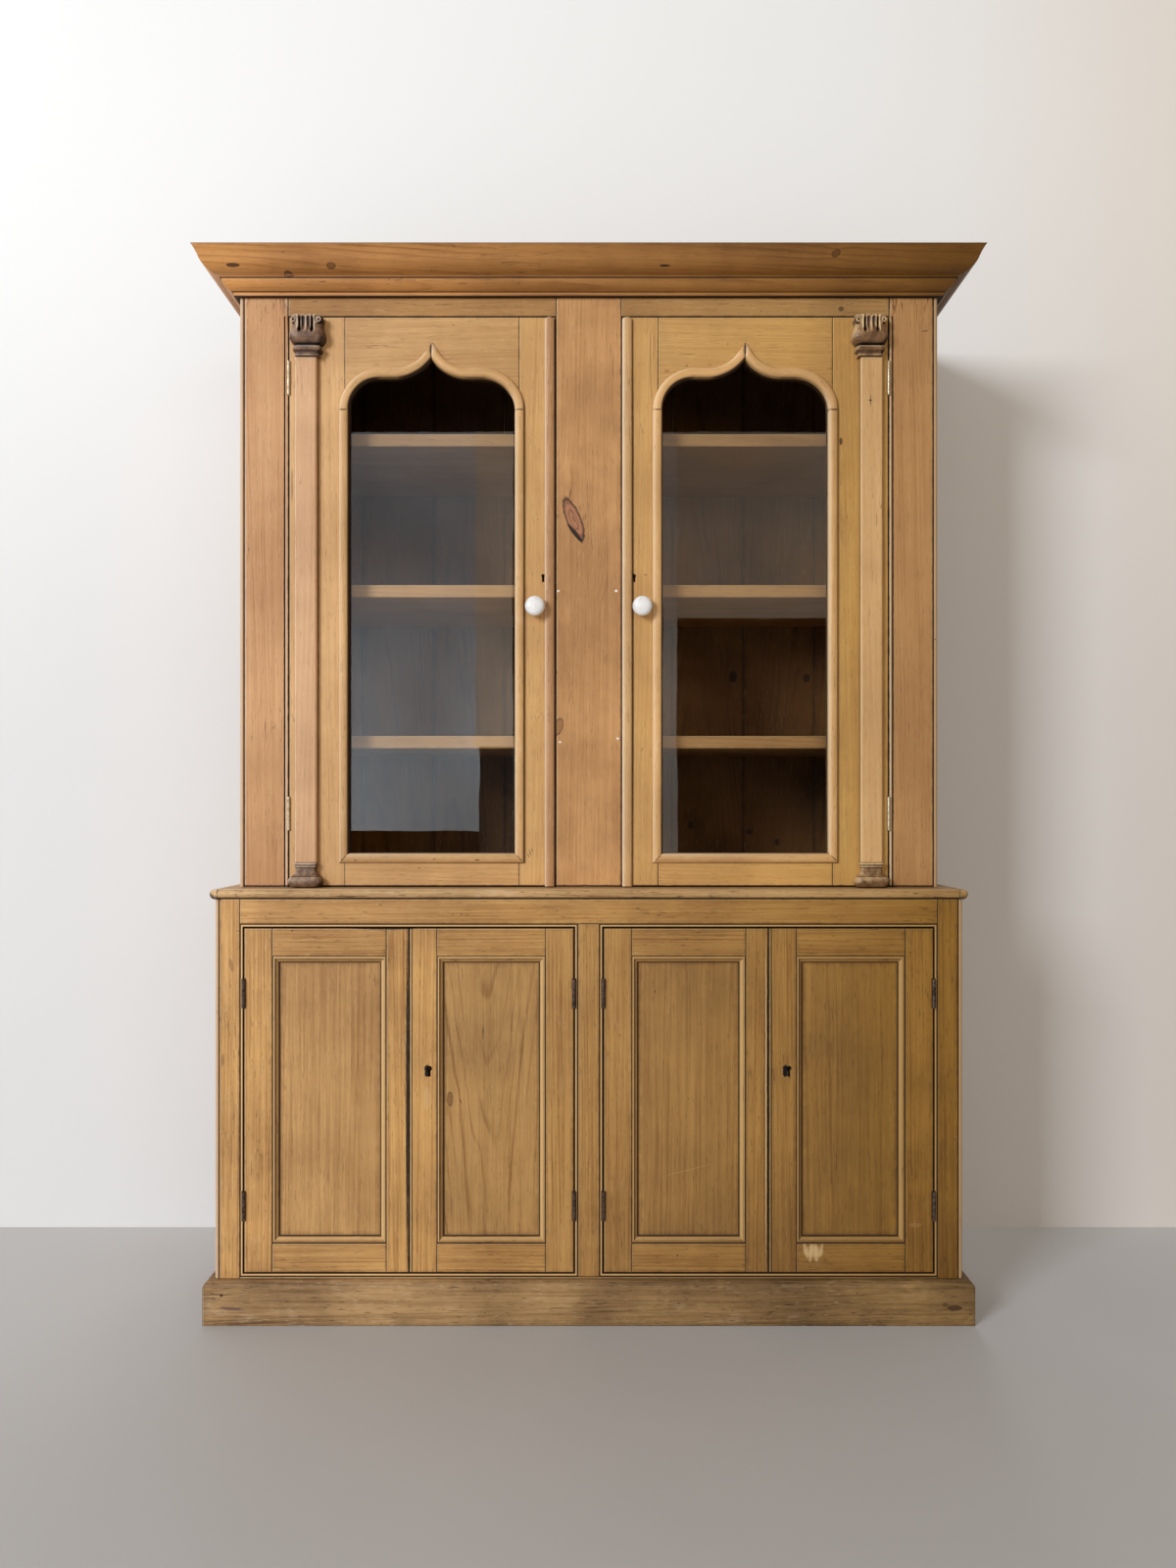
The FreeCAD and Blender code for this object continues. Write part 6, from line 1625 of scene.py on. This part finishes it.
hung = [
    ("upper_door_left", -UPPER_PIN, 1), ("upper_door_right", UPPER_PIN, -1),
    ("lower_door_1", -LOWER_PIN_OUT, 1), ("lower_door_2", -LOWER_PIN_IN, -1),
    ("lower_door_3", LOWER_PIN_IN, 1), ("lower_door_4", LOWER_PIN_OUT, -1),
]
SCREW_SINK = 0.19
frame_leaves, frame_screws = {"upper": [], "lower": []}, {"upper": [], "lower": []}
for body, x, side in hung:
    level = body.split("_")[0]
    kind, heights = (BRASS_KIND, BRASS_HEIGHTS) if level == "upper" else (IRON_KIND, IRON_HEIGHTS)
    finish = old_brass if level == "upper" else black_iron
    pieces, screws = [], []
    for middle in heights:
        pieces += hinge_pieces(x, middle=middle, side=side, finish=finish, of_frame=False, **kind)
        frame_leaves[level] += hinge_pieces(x, middle=middle, side=-side, finish=finish, of_frame=True, **kind)
        for share, back in ((-0.36, 8.5), (0.0, 13.5), (0.36, 8.5)):
            spot = kind["front"] + back, middle + share * kind["length"]
            screws.append((x + side * SCREW_SINK, *spot, (-side, 0, 0)))
            frame_screws[level].append((x - side * SCREW_SINK, *spot, (side, 0, 0)))
    slot = "old_brass" if level == "upper" else "black_iron"
    build(body + "_hinge_leaves_dressed", pieces, body, [body + "_hinge_leaves"], 50.0)
    heads(body + "_hinge_screws", screws, body, finish, 2.6, 0.1)
for level, slot, finish in (("upper", "old_brass", old_brass), ("lower", "black_iron", black_iron)):
    node = level + "_frame_hinge_leaves"
    build(node + "_dressed", frame_leaves[level], "carcase", [node], 50.0)
    heads(level + "_frame_hinge_screws", frame_screws[level], "carcase", finish, 2.6, 0.1)


def case_screws(node, body):
    """Four screws in the corners of a lock's back."""
    low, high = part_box(node)
    spots = []
    for x in (low.x / MM + 5, high.x / MM - 5):
        for z in (low.z / MM + 6, high.z / MM - 6):
            spots.append((x, high.y / MM + 0.15, z, (0, 1, 0)))
    heads(node + "_screws", spots, body, old_brass, 2.4, 0.3)


def back_nails(node, heights):
    """Two nails through each back board at every shelf and rail."""
    spots = []
    for points, _ in solids_of(node):
        across = [p[0] / MM for p in points]
        for x in (min(across) + 30, max(across) - 30):
            spots += [(x + 3 * math.sin(x + z), BACK_FACE + 0.2, z + 4 * math.cos(x * z), (0, 1, 0))
                      for z in heights]
    heads(node + "_nails", spots, "carcase", black_iron, 2.3, 0.4, slotted=False)


def back_boards(node):
    """The back boards, planed thinner behind, so that the nail heads stay inside the cabinet's depth."""
    pieces = []
    for number, (points, faces) in enumerate(solids_of(node)):
        points, faces = eased(points, faces, 0.8)
        points = [(x, min(y, BACK_FACE * MM), z) for x, y, z in points]
        rng = random.Random(node + str(number))
        pieces.append((points, faces, board_record(points, rng, pith=(0.0, 0.08)), inner_pine))
    build(node + "_dressed", pieces, "carcase", [node])


# Carcase. The back is nailed at the heights of the rails and shelves

UPPER_NAILED = (940, 1262, 1600, 1938, 2270)
LOWER_NAILED = (40, 490, 885)

face_pines = [stile_pine, stile_pine, rail_pine, rail_pine, centre_pine]
boards("upper_face_frame", face_pines, front_only=True, tell=upper_frame_relief)
boards("upper_ends", side_pine, pith=(0.0, 0.1), tell=upper_end_relief)
boards("upper_carcase_boards", inner_pine)
back_boards("upper_back_boards")
back_nails("upper_back_boards", UPPER_NAILED)
boards("upper_shelves", shelf_pine, ease=1.2)
boards("shelf_bearers", inner_pine)
boards("cornice_bed_moulding", cornice_pine, ease=0.4, pith=(0.02, 0.08), tell=bed_relief)
boards("cornice_crown", cornice_pine, ease=0.6, pith=(0.02, 0.08), tell=crown_relief)
boards("lower_face_frame", lower_pine, front_only=True)
build("lower_cock_beads_dressed", cock_bead_pieces(), "carcase", ["lower_cock_beads"], 60.0)
boards("lower_ends", side_pine, pith=(0.0, 0.1), tell=lower_end_relief)
boards("lower_boards_and_shelves", inner_pine)
back_boards("lower_back_boards")
back_nails("lower_back_boards", LOWER_NAILED)
boards("plinth", plinth_pine, ease=1.6, steps=3, pith=(0.02, 0.1))
boards("top_board", ledge_pine, pith=(0.02, 0.1))
boards("top_nosings", ledge_pine, ease=0.6, tell=nosing_relief)

for number in (1, 2, 3, 4):
    door = f"lower_door_{number}_"
    panel = figured_panel_pine if number == 2 else panel_pine
    boards(door + "frame", lower_pine, front_only=True, tell=meeting_relief)
    boards(door + "panel", panel, cover=22.0, pith=(0.0, 0.02) if number == 2 else (0.1, 0.2))
    build(door + "panel_moulding_dressed", panel_moulding_pieces(door + "panel_moulding"), door[:-1],
          [door + "panel_moulding"], 60.0)
for number in (2, 4):
    boards(f"lower_door_{number}_lock_case", black_iron, ease=0.6)
    boards(f"lower_door_{number}_lock_bolt", old_brass, ease=0.5)
    case_screws(f"lower_door_{number}_lock_case", f"lower_door_{number}")
for side in ("left", "right"):
    case_screws(f"upper_door_{side}_lock_case", f"upper_door_{side}")


# Floor, wall, lamps and camera, in metres. The camera is fitted to the front edges in the photo

EYE = (-0.0015, -2.571, 1.095)
FOCAL, SENSOR = 24.95, 36.0
SHIFT_ROWS, IMAGE_ROWS = 27, 1600


def plain_material(name, first, second, rough):
    """A matt finish for the floor or the wall, very slightly uneven, and its tree."""
    material, tree, shader = new_material(name, Roughness=rough)
    colour = blend(tree, noise(tree, here(tree), 1.2, 3.0), tone(*first), tone(*second))
    tree.links.new(colour, shader["Base Color"])
    return material, tree


def sheet(name, corners, material):
    """One flat sheet of the stage."""
    mesh = bpy.data.meshes.new(name)
    mesh.from_pydata(corners, [], [(0, 1, 2, 3)])
    mesh.materials.append(material)
    made = bpy.data.objects.new(name, mesh)
    bpy.context.scene.collection.objects.link(made)
    return made


floor_finish, _ = plain_material("pale_floor", (196, 194, 192), (184, 182, 180), 0.6)
wall_finish, wall_tree = plain_material("pale_wall", (233, 232, 231), (227, 226, 225), 0.9)
wall_shader = next(n for n in wall_tree.nodes if n.type == "BSDF_PRINCIPLED")
wall_output = next(n for n in wall_tree.nodes if n.type == "OUTPUT_MATERIAL")
wall_place = parts_of(wall_tree, here(wall_tree))
matt = wall_shader.inputs["Base Color"].links[0].from_socket
# painted light on the wall: paler towards the top, and a warmer painted shade towards its right side
wall_painted_light = blend(wall_tree, ramp(wall_tree, wall_place[2], 1.2, 3.0), matt, tone(249, 248, 246))
wall_painted_light = blend(wall_tree, ramp(wall_tree, wall_place[0], 0.6, 1.9), wall_painted_light, (0.96, 0.88, 0.8, 1.0), "MULTIPLY")
wall_tree.links.new(wall_painted_light, wall_shader.inputs["Base Color"])
clear = place(wall_tree, "ShaderNodeBsdfTransparent")
behind = place(wall_tree, "ShaderNodeNewGeometry").outputs["Backfacing"]
seen_sides = {0: behind, 1: wall_shader.outputs[0], 2: clear.outputs[0]}
one_sided = place(wall_tree, "ShaderNodeMixShader", seen_sides)
wall_tree.links.new(one_sided.outputs[0], wall_output.inputs["Surface"])

reach = 6.0
sheet("floor", [(-reach, -reach, 0), (reach, -reach, 0), (reach, reach, 0), (-reach, reach, 0)], floor_finish)
half, high, back = 2.4, 4.2, 0.285
wall = sheet("wall", [(-half, back, 0), (half, back, 0), (half, back, high), (-half, back, high)], wall_finish)
wall.visible_shadow = False


def card(name, x0, x1, z0, z1, y, low, high, colour=(0.86, 0.93, 1.0)):
    """A card that only reflections see: what the glass mirrors from the room, its glow changing upwards."""
    material = bpy.data.materials.new(name)
    material.use_nodes = True
    tree = material.node_tree
    tree.nodes.clear()
    point = here(tree)
    up = parts_of(tree, point)[2]
    glow = ramp(tree, up, 1.4, 2.5, low, high)
    glow = calc(tree, "MULTIPLY", glow, ramp(tree, noise(tree, point, 1.7, 2.0), 0.25, 0.75, 0.8, 1.2))
    shine = place(tree, "ShaderNodeEmission", {"Color": tuple(colour) + (1.0,), "Strength": glow})
    place(tree, "ShaderNodeOutputMaterial", {"Surface": shine.outputs[0]})
    made = sheet(name, [(x0, y, z0), (x0, y, z1), (x1, y, z1), (x1, y, z0)], material)
    made.visible_camera = made.visible_diffuse = made.visible_shadow = False


card("dark_room", -8.0, 8.0, -1.0, 7.0, -4.4, 0.0, 0.0)
card("left_window", -1.37, -0.43, 0.978, 3.26, -4.0, 1.6, 0.82)
card("left_curtain", -0.645, -0.43, 1.458, 3.26, -3.99, 1.45, 0.95, (1.0, 0.84, 0.7))
card("left_window_block", -0.62, -0.43, 0.8, 1.458, -3.98, 0.05, 0.05)
card("right_strip", 0.42, 0.51, 0.8, 3.26, -4.0, 0.9, 0.7, (1.0, 0.92, 0.82))
card("right_window", 0.51, 1.38, 2.195, 3.26, -4.0, 0.6, 0.62, (1.0, 0.84, 0.68))


def lamp(name, place_at, look_at, width, height, power, colour=(1.0, 1.0, 1.0)):
    """A soft area lamp that the glass doesn't show."""
    light = bpy.data.lights.new(name, "AREA")
    light.shape, light.size, light.size_y = "RECTANGLE", width, height
    light.energy, light.color = power, colour
    made = bpy.data.objects.new(name, light)
    made.location = place_at
    made.rotation_euler = (Vector(look_at) - Vector(place_at)).to_track_quat("-Z", "Y").to_euler()
    bpy.context.scene.collection.objects.link(made)
    made.visible_transmission = False
    return made


lamp("window", (-5.2, -6.5, 3.8), (0, -0.1, 1.3), 2.4, 3.0, 525, (0.87, 0.93, 1.0))
room = lamp("room", (1.2, -4.6, 2.2), (0, 0, 1.2), 3.2, 2.6, 39, (1.0, 0.86, 0.7))
room.visible_glossy = False
lamp("behind", (0.4, 4.0, 2.2), (0, 0, 1.2), 2.5, 2.5, 60)

world = bpy.data.worlds.new("room_air")
world.use_nodes = True
air = world.node_tree.nodes["Background"].inputs
air["Color"].default_value, air["Strength"].default_value = (1.0, 0.93, 0.85, 1.0), 0.3
bpy.context.scene.world = world

lens = bpy.data.cameras.new("camera")
lens.lens, lens.sensor_width, lens.sensor_fit = FOCAL, SENSOR, "AUTO"
lens.shift_y = SHIFT_ROWS / IMAGE_ROWS
camera = bpy.data.objects.new("camera", lens)
camera.location = EYE
camera.rotation_euler = (math.radians(90), 0, 0)
bpy.context.scene.collection.objects.link(camera)
bpy.context.scene.camera = camera
bpy.context.scene.view_settings.view_transform = "Standard"
